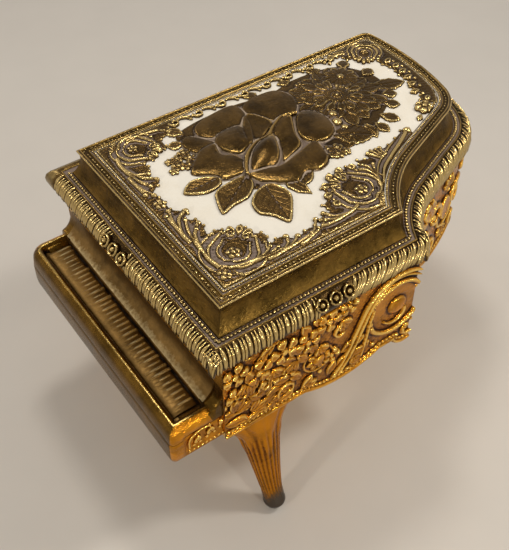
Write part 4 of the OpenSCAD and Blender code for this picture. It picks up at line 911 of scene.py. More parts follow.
def build_beads(finish):
    """The bead row in the rim's channel and the finer one round the enamel."""
    ring = outline(CHANNEL_INSET, 0.5)
    first = int(np.argmax(ring[:, 0] > SPINE_PLAIN + 0.6))
    path = np.roll(ring, -first, 0)
    path = path[path[:, 0] > SPINE_PLAIN + 0.6]
    points, faces, depth = bead(0.68)
    stand_row("rim_beads", [(at_height(path, RIM_Z + 0.72), False)], points, faces, depth, 1.32, finish, "lid",
              0.05, 5)
    points, faces, depth = bead(0.42)
    stand_row("top_beads", [(at_height(outline(FINE_BEAD_INSET, 0.5), PLATE_Z + 0.42), True)], points, faces, depth,
              0.86, finish, "lid", 0.05, 7)


# ---- Relief on the enamel ----
def petal_forms(field):
    """The rose: outer petals first, then the ones that lie over them, up to the bright bud."""
    outer = [
        ([(19, 63), (18.5, 55), (21, 46), (27, 44), (31, 49), (31, 57), (27, 63)], 1.0, (-0.02, 0.0)),
        ([(20, 79), (19, 70), (22, 64), (30, 64), (35, 70), (34, 78), (27, 82)], 1.1, (0.0, 0.01)),
        ([(30, 46), (24, 41), (27, 37), (33, 38), (36, 43), (34, 47)], 0.9, (0.0, 0.0)),
    ]
    for ring, base, tilt in outer:
        field.lobe(ring, base - 0.3, tilt, 1.3, 0.12, 1.0, 0.1, 1.1)
    field.lobe([(33, 46), (38.5, 45.2), (42, 48.5), (47, 49), (50.5, 45.5), (49.5, 39), (46, 36.8), (41, 32),
                (36.5, 35.5), (33, 40)], 1.0, (0.0, 0.05), 1.9, 0.16, 1.0, 0.35, 1.1)
    field.lobe([(50, 73), (57, 72.5), (61, 70.5), (62.5, 66), (61, 61.5), (63, 57), (60.5, 51.5), (56.5, 47),
                (51.5, 45.5), (50.5, 50), (53.5, 56), (52, 64)], 1.0, (-0.05, 0.0), 2.0, 0.16, 1.0, 0.3, 1.1)
    field.lobe([(35.5, 77), (37, 82), (43, 84), (49.5, 82.2), (52.5, 77), (51, 71.5), (46, 69.8), (40, 72.5)],
               1.2, (0.0, -0.05), 2.0, 0.14, 1.0, 0.2, 1.1)
    field.lobe([(30, 58), (29, 51), (31.5, 46.5), (37, 45.8), (42, 49), (41, 54), (38, 58)], 1.3, (0.035, 0.0), 1.6,
               0.14, 1.0, 0.0, 1.1)
    # the folded petal: two flat sides meeting in a sharp crease
    field.lobe([(26.5, 62.5), (31, 66.5), (35.5, 67.2), (38, 63.5), (40, 59.5), (40.5, 56)], 1.7, (0.03, 0.09), 0.9,
               0.25, 0.8, 0.5)
    field.lobe([(26.5, 62.5), (33, 60.5), (40.5, 55.8), (38.5, 55), (32, 57.5), (27.5, 60.8)], 1.5, (0.04, 0.0),
               0.8, 0.2, 0.8, 0.0)
    field.lobe([(34.8, 71), (36, 74.5), (39.5, 73), (44, 70.5), (49.5, 68.5), (52, 63), (52.8, 58.5), (47, 61.5),
                (41.5, 62.5), (38, 64)], 1.4, (-0.05, 0.05), 1.9, 0.16, 1.0, 0.3, 1.0)
    bud = field.lobe([(41, 62.8), (45.5, 62.2), (50.5, 59.2), (53.2, 55), (52.6, 49.5), (51.3, 46.2), (47, 48.8),
                      (43.5, 52.5), (41.2, 57.5)], 1.6, (-0.19, 0.15), 3.6, 0.0, 1.0, 0.0, 1.0)
    field.ease(bud, 70)
    # the spiral ridge that wraps the bud
    path = rounded([(35.6, 76.5), (34.6, 71.5), (37.4, 66), (40.4, 61.6), (41.2, 56.6), (43.6, 52.2), (47.2, 48.4),
                    (51.6, 45.8)], 14, closed=False)
    widths = np.interp(np.linspace(0, 1, len(path)), [0, 0.35, 0.75, 1], [0.4, 0.75, 0.95, 0.45])
    field.stroke(path, widths, 0.95, 2.5, over=True)


def leaf_forms(field):
    """The ground of leaves, florets and berries that the two flowers lie on."""
    field.lobe([(19, 47), (22, 38), (30, 38), (40, 40), (56, 42), (61, 56), (59, 72), (58.5, 86), (52, 100),
                (46, 108), (36, 113), (26, 110), (20, 103), (18.5, 88), (20.5, 76), (18.5, 62)], 0.55, (0, 0), 0.2,
               0.0, 0.8)
    for x, y, angle, length, width in (
            (23, 41, 215, 7, 5.5), (27, 38.5, 250, 6, 5), (20, 70, 170, 4.5, 6), (20.5, 84, 175, 4, 6),
            (21, 96, 160, 4.5, 6), (24, 106, 140, 6, 5.5), (31, 109, 105, 6, 5.5), (47, 104, 50, 6.5, 5.5),
            (51, 99, 32, 8, 5.5), (53.5, 95, 10, 7, 5), (52, 92, -8, 8.5, 5.2), (50, 87, -30, 7.5, 5),
            (43, 107, 62, 6, 5.5)):
        field.petal(x, y, angle, length, width, 0.9, 0.5, 0.55, 0.3, 0.55, 0.7, 0.22, 5)
    field.petal(38, 107, 72, 13, 7.6, 0.9, 0.5, 0.5, 0.3, 0.5, 0.75, 0.25, 5)
    field.petal(50, 79, 55, 15, 11, 0.8, 0.6, 0.6, 0.3, 0.55, 0.6, 0.25, 7)
    field.petal(58, 66, -65, 14, 8, 0.6, 0.5, 0.4, 0.35, 0.55, 0.8, 0.2, 0)
    field.petal(58.5, 53.5, 18, 12, 5.6, 0.7, 0.4, 0.5, 0.35, 0.5, 0.9, 0.2, 3)
    # the three large veined leaves under the rose
    big = [
        ([(51.2, 46), (50.6, 40), (51.8, 34), (55, 31.6), (61.6, 29.8), (60.6, 35), (60, 40.5), (57, 44.5), (54, 46)],
         (51.8, 45), (60.6, 31), 3.0),
        ([(58.2, 48.4), (60.5, 51), (65.5, 52), (70, 49.6), (75.8, 44.2), (71, 41.4), (67.5, 38.6), (62.5, 39.4),
          (59, 43.4)], (58.8, 47.4), (74.6, 44.4), 3.6),
        ([(47, 38), (44.4, 34.6), (43.6, 29.6), (47.2, 25.2), (50.6, 29.4), (51.4, 33.4), (50, 37.6)],
         (47.2, 37), (47.2, 26.4), 2.4),
    ]
    for ring, root, tip, spread in big:
        field.lobe(ring, 0.75, (0.0, 0.0), 0.55, 0.5, 0.85, 0.35, 0.4)
        field.veins(root, tip, spread, 4)
    # a spray of florets at the lower left and beside the rose
    for x, y, r in ((31, 35.5, 1.5), (34, 36, 1.4), (37, 34, 1.5), (32.2, 32.4, 1.4), (35.4, 31, 1.6), (32, 29.6, 1.1),
                    (36.6, 28.6, 1.2), (57, 76.6, 1.5), (59.6, 75, 1.4), (56, 73.8, 1.3), (60, 78, 1.2),
                    (58.4, 72.4, 1.2), (30, 86, 1.3), (26.5, 84, 1.2), (23, 88, 1.3), (24, 92, 1.1), (30, 81.5, 1.2),
                    (22, 57, 1.0), (24, 60, 1.0), (55, 84, 1.1)):
        for k in range(5):
            a = math.radians(72 * k + 20)
            field.ball(x + r * 0.95 * math.cos(a), y + r * 0.95 * math.sin(a), r * 0.62, 0.75, 0.7)
        field.ball(x, y, r * 0.5, 1.1, 0.9)


def daisy_forms(field):
    """The many-petalled flower behind the rose, with its berries and a smaller flower beside it."""
    cx, cy = 35.5, 94.0
    for reach, count, turn, low, high, width in (
            (16.5, 15, 4.0, 0.9, 0.9, 5.6), (13.0, 15, 16.0, 1.2, 1.3, 4.6), (9.2, 13, 0.0, 1.5, 1.8, 3.6)):
        for k in range(count):
            angle = turn + 360 * k / count + 4 * math.sin(2.3 * k)
            r = reach * (1 + 0.07 * math.sin(1.7 * k + reach))
            x, y = cx + 1.6 * math.cos(math.radians(angle)), cy + 1.6 * math.sin(math.radians(angle))
            field.petal(x, y, angle, r - 1.6, width, low, high, 0.55, 0.28, 0.72, 0.55, 0.2)
    for k in range(11):
        angle = 33 * k + 8
        field.petal(cx, cy, angle, 5.0, 2.4, 1.9, 1.9, 0.4, 0.1, 0.6, 0.4, 0.1)
    field.ball(cx, cy, 2.2, 1.4, 0.5)
    for k in range(9):
        a = math.radians(40 * k)
        field.ball(cx + 1.5 * math.cos(a), cy + 1.5 * math.sin(a), 0.5, 2.0, 0.8)
    field.ball(cx, cy, 0.7, 2.2, 0.8)
    bx, by = 27.5, 102.0
    for k in range(9):
        field.petal(bx, by, 40 * k + 12, 6.2, 3.4, 1.5, 1.4, 0.4, 0.22, 0.65, 0.4, 0.15)
    field.ball(bx, by, 1.5, 1.6, 0.7)
    for x, y, r in ((42.5, 86.6, 1.7), (46.6, 84.9, 1.9), (50.2, 85.4, 1.3), (39.6, 84.0, 1.1)):
        field.ball(x, y, r, 0.9, 0.95)


def build_flowers(finish, petal_finish, step):
    """Three castings pinned on the enamel: the leaves, the daisy and the rose."""
    whole = Relief((16.0, 23.5), (77.5, 120.5), step)
    leaf_forms(whole)
    leaves = whole.h.copy()
    daisy_forms(whole)
    daisy_on = np.abs(whole.h - leaves) > 1e-6
    below_rose = whole.h.copy()
    petal_forms(whole)
    rose_on = np.abs(whole.h - below_rose) > 1e-6
    whole.h = np.minimum(whole.h * (ROSE_RISE / whole.h.max()), ROSE_RISE)
    shade = whole.shade()
    for name, node, part, gilt in (("leaves_and_florets", "leaf_spray", ~daisy_on & ~rose_on, finish),
                                   ("daisy_casting", "daisy_bloom", daisy_on & ~rose_on, finish),
                                   ("rose_casting", "rose_bloom", rose_on, petal_finish)):
        points, faces, depth = whole.mesh(ENAMEL_Z, keep=part, shade=shade)
        piece = make_piece(name, points, faces, gilt, "lid", 0, {"depth": depth}, turn_out=False)
        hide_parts(node)


# ---- Scrolls round the enamel ----
RIB_FULLNESS = 1.05


def sweep(field, points, w0, w1, height, base=0.35, ball=0.0, middle=None):
    """A tapering half-round rib through control points, with a ball at its far end where one is given."""
    path = walk(rounded(points, 10, closed=False), 0.2 * max(w0, w1))
    t = np.linspace(0, 1, len(path))
    widths = np.interp(t, [0, 0.5, 1], [w0, middle or (w0 + w1) / 2, w1])
    field.stroke(path, widths * RIB_FULLNESS, height, base)
    if ball:
        field.ball(path[-1][0], path[-1][1], ball * 1.15, base, 0.9)


def plume(field, root, bend, tips, w0, w1, height, base=0.3, ball=0.0):
    """An acanthus plume: ribs that leave one root, lean on one bend and fan out to their tips."""
    for tip in tips:
        sweep(field, [root, ((root[0] + bend[0]) / 2, (root[1] + bend[1]) / 2),
                      (bend[0] * 0.6 + tip[0] * 0.4, bend[1] * 0.6 + tip[1] * 0.4), tip], w0, w1, height, base, ball)


def floret(field, x, y, r, petals=5, turn=18.0, base=0.5, rise=0.75):
    for k in range(petals):
        a = math.radians(turn + 360 * k / petals)
        field.ball(x + r * 0.62 * math.cos(a), y + r * 0.62 * math.sin(a), r * 0.46, base, rise)
    field.ball(x, y, r * 0.34, base + 0.45, 0.9)


def cartouche(field, x, y, turn, size, mirror=1):
    """A shield of banded C-scrolls with a floret in it, a shell below and a fleur above."""
    c, s = math.cos(math.radians(turn)), math.sin(math.radians(turn))

    def at(u, v):
        return x + size * (u * mirror * c - v * s), y + size * (u * mirror * s + v * c)

    field.lobe([at(math.cos(a) * 0.5, math.sin(a) * 0.55) for a in np.linspace(0, 2 * math.pi, 10, endpoint=False)],
               0.35, (0, 0), 0.3, 0.1, 0.7, 0.0, 0.6)
    floret(field, *at(0.0, -0.16), size * 0.30)
    for side in (-1, 1):
        for r, w, top in ((0.60, 0.30, 0.84), (0.92, 0.46, 0.98), (1.24, 0.34, 0.52)):
            bend = [at(side * r * u, r * v) for u, v in ((0.06, -1.0), (0.45, -1.0), (0.9, -0.66), (1.08, -0.1),
                                                         (0.98, 0.30), (0.74 + 0.16 * (w < 0.4), top))]
            sweep(field, bend, w * 0.7, w, 0.95 - 0.25 * (w < 0.3), 0.3, 0.62 if w > 0.3 else 0.0, w * 1.25)
        curl_x, curl_y = at(side * 0.34, 0.84)
        start = math.degrees(math.atan2(at(side, 0)[1] - y, at(side, 0)[0] - x))
        field.curl(curl_x, curl_y, size * 0.24, size * 0.08, start, start + side * mirror * 380, 0.36, 0.3, 0.85, 0.35,
                   0.42)
    for k in (-2, -1, 0, 1, 2):
        sweep(field, [at(k * 0.05, -0.85), at(k * 0.13, -1.12), at(k * 0.24, -1.34 + 0.05 * abs(k))], 0.3, 0.5, 0.6,
              0.35, 0.5)
    for k, reach in ((-1, 1.28), (0, 1.5), (1, 1.28)):
        px, py = at(k * 0.12, 0.78)
        tx, ty = at(k * 0.5, reach)
        field.petal(px, py, math.degrees(math.atan2(ty - py, tx - px)), math.hypot(tx - px, ty - py), size * 0.38,
                    0.6, 0.7, 0.5, 0.3, 0.6, 0.3, 0.15)


def ground_plates(field):
    """The thin plates that the scrolls stand on, with lobed inner edges."""
    plates = (
        [(13, 13), (87, 13), (87, 50), (82.5, 51.5), (80.5, 47), (82, 41.5), (78.6, 38), (79.4, 34), (75.2, 35.4),
         (72.6, 32.4), (69, 31.8), (69.4, 27.6), (65.6, 25.4), (66.4, 21.6), (60, 23.2), (56.4, 20), (54.4, 22.4),
         (50.6, 18.6), (45.4, 19.2), (41.8, 17.6), (38, 22.6), (33.6, 20.6), (31, 23.4), (27.6, 23.4), (28, 27.6),
         (24.6, 29.4), (25.6, 33), (20.6, 33.6), (19.4, 38), (16.6, 38.6), (15.8, 42), (13, 42)],
        [(88, 50), (88, 73), (82, 77), (72, 91), (66, 102.4), (61.6, 100.6), (63.8, 95), (65.4, 89), (64, 84.4),
         (66.6, 81.4), (65.2, 78), (68, 76.4), (65.6, 73), (67, 70), (65.4, 66.6), (68.6, 64.6), (69.4, 60.4),
         (74, 60.6), (75.4, 56), (78.6, 56.4), (79.4, 51)],
        [(13, 107), (16.4, 106), (17.4, 110.4), (20.4, 111), (21, 115), (24.8, 115.6), (26, 119.4), (29.6, 119.4),
         (34, 120.6), (38, 119.6), (42, 120), (45.6, 118), (50, 118.4), (53, 115.8), (56, 117.6), (58, 120),
         (40, 130), (13, 130)],
    )
    everywhere = (slice(None), slice(None))
    dx, dy = np.meshgrid(field.xs, field.ys, indexing="ij")
    for plate in plates:
        inside, edge = ring_distance(np.asarray(plate, float), dx, dy)
        pits = 0.05 * np.sin(dx * 4.1 + 1.7 * np.sin(dy * 2.3)) * np.sin(dy * 3.7)
        field.raise_to(everywhere, np.where(inside, 0.5 * np.clip(edge / 0.4, 0.35, 1) + pits, 0))
        rim = rounded(plate, 3)
        near = (rim[:, 0] > 13.6) & (rim[:, 0] < 86.6) & (rim[:, 1] > 13.6)
        for x, y in rim[near][::2]:
            field.ball(x, y, 0.62, 0.2, 0.9)


def scroll_forms(field):
    """The ornaments round the enamel, corner by corner."""
    ground_plates(field)
    # front treble corner: shield with plumes running along both borders
    cartouche(field, 76.0, 24.0, 45, 7.3)
    plume(field, (80.5, 17.2), (84.0, 27.0), [(83.6, 36.5), (82.2, 35.0), (80.6, 33.2)], 0.9, 0.55, 1.1, 0.3, 0.75)
    plume(field, (84.6, 30.0), (84.8, 37.0), [(83.4, 46.2), (81.8, 42.2), (80.0, 39.2)], 0.8, 0.5, 1.0, 0.3, 0.95)
    plume(field, (85.2, 41.0), (84.6, 46.0), [(79.2, 50.6), (81.6, 52.4)], 0.6, 0.45, 0.9, 0.3, 0.8)
    plume(field, (79.0, 16.8), (68.0, 15.6), [(60.4, 22.0), (62.6, 20.0), (57.6, 19.4)], 0.9, 0.55, 1.1, 0.3, 0.8)
    plume(field, (66.0, 15.6), (58.0, 15.4), [(54.0, 21.8), (51.4, 17.4), (53.2, 15.8)], 0.9, 0.6, 1.1, 0.3, 0.9)
    for x, y, r in ((69.4, 27.4, 0.7), (69.0, 30.6, 0.9), (66.8, 22.6, 0.8), (83.6, 17.0, 0.9), (84.8, 20.4, 0.8)):
        field.ball(x, y, r, 0.35, 0.9)
    floret(field, 47.4, 17.0, 2.0)
    floret(field, 82.2, 16.6, 2.1, 4, 45)
    # front bass corner
    cartouche(field, 20.4, 24.2, -40, 6.0, -1)
    plume(field, (22.0, 16.8), (31.0, 15.2), [(36.8, 22.2), (33.2, 21.4), (38.6, 19.0)], 0.9, 0.55, 1.1, 0.3, 0.85)
    plume(field, (32.0, 15.4), (38.0, 15.3), [(42.8, 17.6), (41.4, 15.6)], 0.8, 0.55, 1.0, 0.3, 0.95)
    plume(field, (15.4, 24.0), (15.2, 33.0), [(18.6, 37.4), (17.0, 35.8)], 0.7, 0.5, 0.9, 0.3, 0.75)
    # spine border: a run of shells and small scrolls
    for k in range(8):
        y = 41.5 + 9.3 * k
        field.curl(15.9, y, 1.9, 0.6, -100, 220, 0.5, 0.45, 0.85, 0.3, 0.5)
        plume(field, (14.9, y + 2.4), (15.2, y + 4.4), [(17.0, y + 5.8), (16.0, y + 6.8)], 0.45, 0.4, 0.8, 0.3, 0.55)
    # treble corner: a ruffled shield, a plume down the border and a rib up the bentside
    cartouche(field, 76.0, 69.4, 118, 7.0, -1)
    for k in range(6):
        a = math.radians(150 + 26 * k)
        px, py = 75.6 + 7.6 * math.cos(a), 69.6 + 8.0 * math.sin(a)
        field.petal(px, py, math.degrees(a) + 12, 3.4, 3.2, 0.55, 0.8, 0.45, 0.25, 0.6, 0.3, 0.15)
    plume(field, (82.0, 64.0), (84.0, 57.0), [(80.4, 51.6), (78.4, 54.0), (82.6, 49.0)], 0.8, 0.5, 1.0, 0.3, 0.75)
    plume(field, (78.8, 76.0), (73.2, 78.6), [(69.2, 74.4), (68.4, 77.6), (69.8, 80.6)], 0.8, 0.5, 1.0, 0.3, 0.7)
    sweep(field, [(78.6, 77.4), (73.6, 82.0), (70.0, 88.4), (66.6, 95.0), (63.4, 100.4)], 0.45, 0.8, 1.4, 0.35, 1.35,
          0.7)
    sweep(field, [(80.2, 77.8), (75.0, 82.6), (71.4, 89.0), (68.0, 95.6)], 0.35, 0.3, 0.9, 0.35)
    sweep(field, [(77.0, 76.4), (71.6, 81.2), (68.0, 87.2), (65.4, 92.6)], 0.4, 0.4, 1.0, 0.35)
    for k in range(4):
        sweep(field, [(69.6 - 0.3 * k, 84.6 + 0.8 * k), (67.4 - 0.2 * k, 83.4 + 1.1 * k), (65.0, 82.6 + 1.6 * k)],
              0.45, 0.75, 0.9, 0.35, 0.8)
    # along the bentside and the tail
    floret(field, 57.2, 113.8, 3.2, 6, 10)
    field.petal(59.4, 110.8, -60, 4.0, 2.4, 0.5, 0.6, 0.4, 0.2, 0.6, 0.5, 0.15)
    field.petal(55.0, 116.4, 120, 4.0, 2.4, 0.5, 0.6, 0.4, 0.2, 0.6, 0.5, 0.15)
    cartouche(field, 20.6, 118.6, -132, 4.6)
    for k in range(6):
        x, y = 28.5 + 4.1 * k, 123.6 - 0.02 * (28.5 + 4.1 * k - 33) ** 2
        field.petal(x, y + 1.4, -70 - 6 * k, 4.4, 2.8, 0.5, 0.6, 0.45, 0.25, 0.6, 0.6, 0.15)
        field.ball(x + 2.0, y + 0.4, 0.7, 0.35, 0.9)
    plume(field, (17.0, 112.0), (15.6, 108.0), [(18.4, 104.6), (17.0, 103.4)], 0.6, 0.45, 0.9, 0.3, 0.7)


def build_scrolls(finish, step):
    """The scrolls and shields round the enamel, as one pierced casting."""
    field = Relief((13.6, 13.6), (86.8, 128.5), step)
    scroll_forms(field)
    gx, gy = np.meshgrid(field.xs, field.ys, indexing="ij")
    inside, _ = ring_distance(outline(13.7, 2.0), gx, gy)
    field.h = np.where(inside, field.h, 0)
    points, faces, depth = field.mesh(ENAMEL_Z)
    piece = make_piece("scroll_casting", points, faces, finish, "lid", 0, {"depth": depth})
    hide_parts("corner_scrolls")


def motif_part():
    """A leaf and a dot, the running motif of the border's flat band."""
    points, faces, depth = bead(0.36, 3, 7)
    points = [(x - 0.75, y, z) for x, y, z in points]
    blade = [(-0.1, 0.0), (0.35, 0.34), (0.9, 0.28), (1.25, 0.0), (0.9, -0.28), (0.35, -0.34)]
    k = len(points)
    points += [(x, y, -0.1) for x, y in blade] + [(x * 0.86 + 0.08, y * 0.55, 0.24) for x, y in blade]
    depth += [0.95] * 6 + [0.15] * 6
    faces += [(k + i, k + (i + 1) % 6, k + 6 + (i + 1) % 6, k + 6 + i) for i in range(6)]
    faces += [tuple(k + 6 + i for i in range(6)), tuple(k + 5 - i for i in range(6))]
    return points, faces, depth


def build_border_motifs(finish):
    points, faces, depth = motif_part()
    stand_row("border_motifs", [(at_height(outline(MOTIF_INSET, 0.5), PLATE_Z + 0.2), True)], points, faces, depth, 3.1,
              finish, "lid", 0.12, 11)


def rosette_part(r):
    """Three small paterae in a row, each a rolled ring about a dot, that break the gadroons on a side."""
    points, faces, depth = [], [], []
    section = [(1.0, -0.5, 0.95), (1.0, 0.1, 0.6), (0.94, 0.42, 0.15), (0.8, 0.55, 0.0), (0.66, 0.42, 0.15),
               (0.60, 0.2, 0.5), (0.50, 0.12, 0.82), (0.42, 0.2, 0.5), (0.3, 0.5, 0.2), (0.16, 0.66, 0.0),
               (0.02, 0.7, 0.0)]
    around = 22
    for cx in (-2.15 * r, 0.0, 2.15 * r):
        base = len(points)
        for q, lift, shade in section:
            for j in range(around):
                a = 2 * math.pi * j / around
                lobed = 1 + 0.05 * math.cos(11 * a) * (q > 0.7)
                points.append((cx + r * q * lobed * math.cos(a), r * q * lobed * math.sin(a), r * lift))
                depth.append(shade)
        faces += [tuple(v + base for v in f) for f in ring_faces(len(section), around)]
        faces.append(tuple(base + v for v in range(around - 1, -1, -1)))
        faces.append(tuple(base + (len(section) - 1) * around + v for v in range(around)))
    return points, faces, depth


def build_rim_rosettes(finish):
    """Rows of paterae on the gadroons in the middle of the front and treble sides."""
    points, faces, depth = rosette_part(2.3)
    tilt = math.radians(52)
    points = [(x, y * math.cos(tilt) - z * math.sin(tilt), y * math.sin(tilt) + z * math.cos(tilt))
              for x, y, z in points]
    inset = 1.25
    middle = ((PATERAE_X, inset, 1.0, 0.0), (RIM_W - inset, PATERAE_Y, 0.0, 1.0))
    all_points, all_faces, all_depth = [], [], []
    for x, y, ux, uy in middle:
        base = len(all_points)
        all_points += [(x + px * ux - py * uy, y + px * uy + py * ux, RIM_Z - 0.55 + pz) for px, py, pz in points]
        all_faces += [tuple(i + base for i in face) for face in faces]
        all_depth += depth
    make_piece("rim_rosettes", all_points, all_faces, finish, "lid", 60.0, {"depth": all_depth},
               turn_out=True)


# ---- The case's walls ----
WALL_STEP = 0.3
FRONT_Y = 5.0


def wall_line():
    """The outside of the wall from the treble front, round the tail to the bass front, with what lies outward."""
    ring, out = outline(WALL_INSET, 0.5, 0.5), outline(WALL_INSET - 1, 0.5, 0.5)
    start = int(np.argmin(np.linalg.norm(ring - np.array([RIM_W - WALL_INSET, WALL_INSET]), axis=1)))
    ring, out = np.roll(ring, -start, 0), np.roll(out, -start, 0)
    stop = int(np.argmin(np.linalg.norm(ring - np.array([WALL_INSET, WALL_INSET]), axis=1)))
    return ring[:stop + 1], (out - ring)[:stop + 1]


WALL, WALL_OUT = wall_line()
WALL_S = lengths(WALL, closed=False)
# the stretches of the wall, as lengths along it from the treble front corner
TREBLE_END = float(WALL_S[int(np.argmax(WALL[:, 1] * (WALL[:, 0] > RIM_W - WALL_INSET - 0.01)))])
SPINE_START = float(WALL_S[int(np.argmax((WALL[:, 0] < WALL_INSET + 0.01)))])
WALL_LENGTH = float(WALL_S[-1])


def on_wall(points):
    """Takes length along the wall, height and relief to the rim's frame."""
    s, z, h = points[:, 0], points[:, 1], points[:, 2]
    x = np.interp(s, WALL_S, WALL[:, 0]) + h * np.interp(s, WALL_S, WALL_OUT[:, 0])
    y = np.interp(s, WALL_S, WALL[:, 1]) + h * np.interp(s, WALL_S, WALL_OUT[:, 1])
    return np.column_stack([x, y, z])


def apron_foot(y):
    """The height of the apron's lower edge where the wall stands at a distance from the front."""
    foot = np.full_like(y, APRON_Z)
    for middle, half in ((50.0, 15.0), (76.0, 5.0), (111.0, 12.0)):
        r = (half ** 2 + SCALLOP ** 2) / (2 * SCALLOP)
        drop = APRON_Z - SCALLOP + r - np.sqrt(np.clip(r ** 2 - (y - middle) ** 2, 0, None))
        foot = np.where(np.abs(y - middle) < half, np.minimum(foot, drop), foot)
    return foot


def rope(field, points, w, height, base, pitch=1.1):
    """A beaded moulding along a line."""
    path = walk(points, pitch)
    for x, y in path:
        field.ball(x, y, w, base, height / w)


def acanthus(field, x, y, turn, reach, width, base, mirror=1, leaves=5):
    """A spray of pointed leaves that fan out from a curled root."""
    for k in range(leaves):
        t = k / (leaves - 1)
        a = turn + mirror * (t - 0.5) * 95
        field.petal(x + 0.9 * math.cos(math.radians(a)), y + 0.9 * math.sin(math.radians(a)), a,
                    reach * (0.72 + 0.28 * math.sin(math.pi * t)), width, base, base + 0.35, 0.55, 0.25, 0.55, 0.45,
                    0.18)
    field.ball(x, y, width * 0.34, base + 0.2, 0.8)


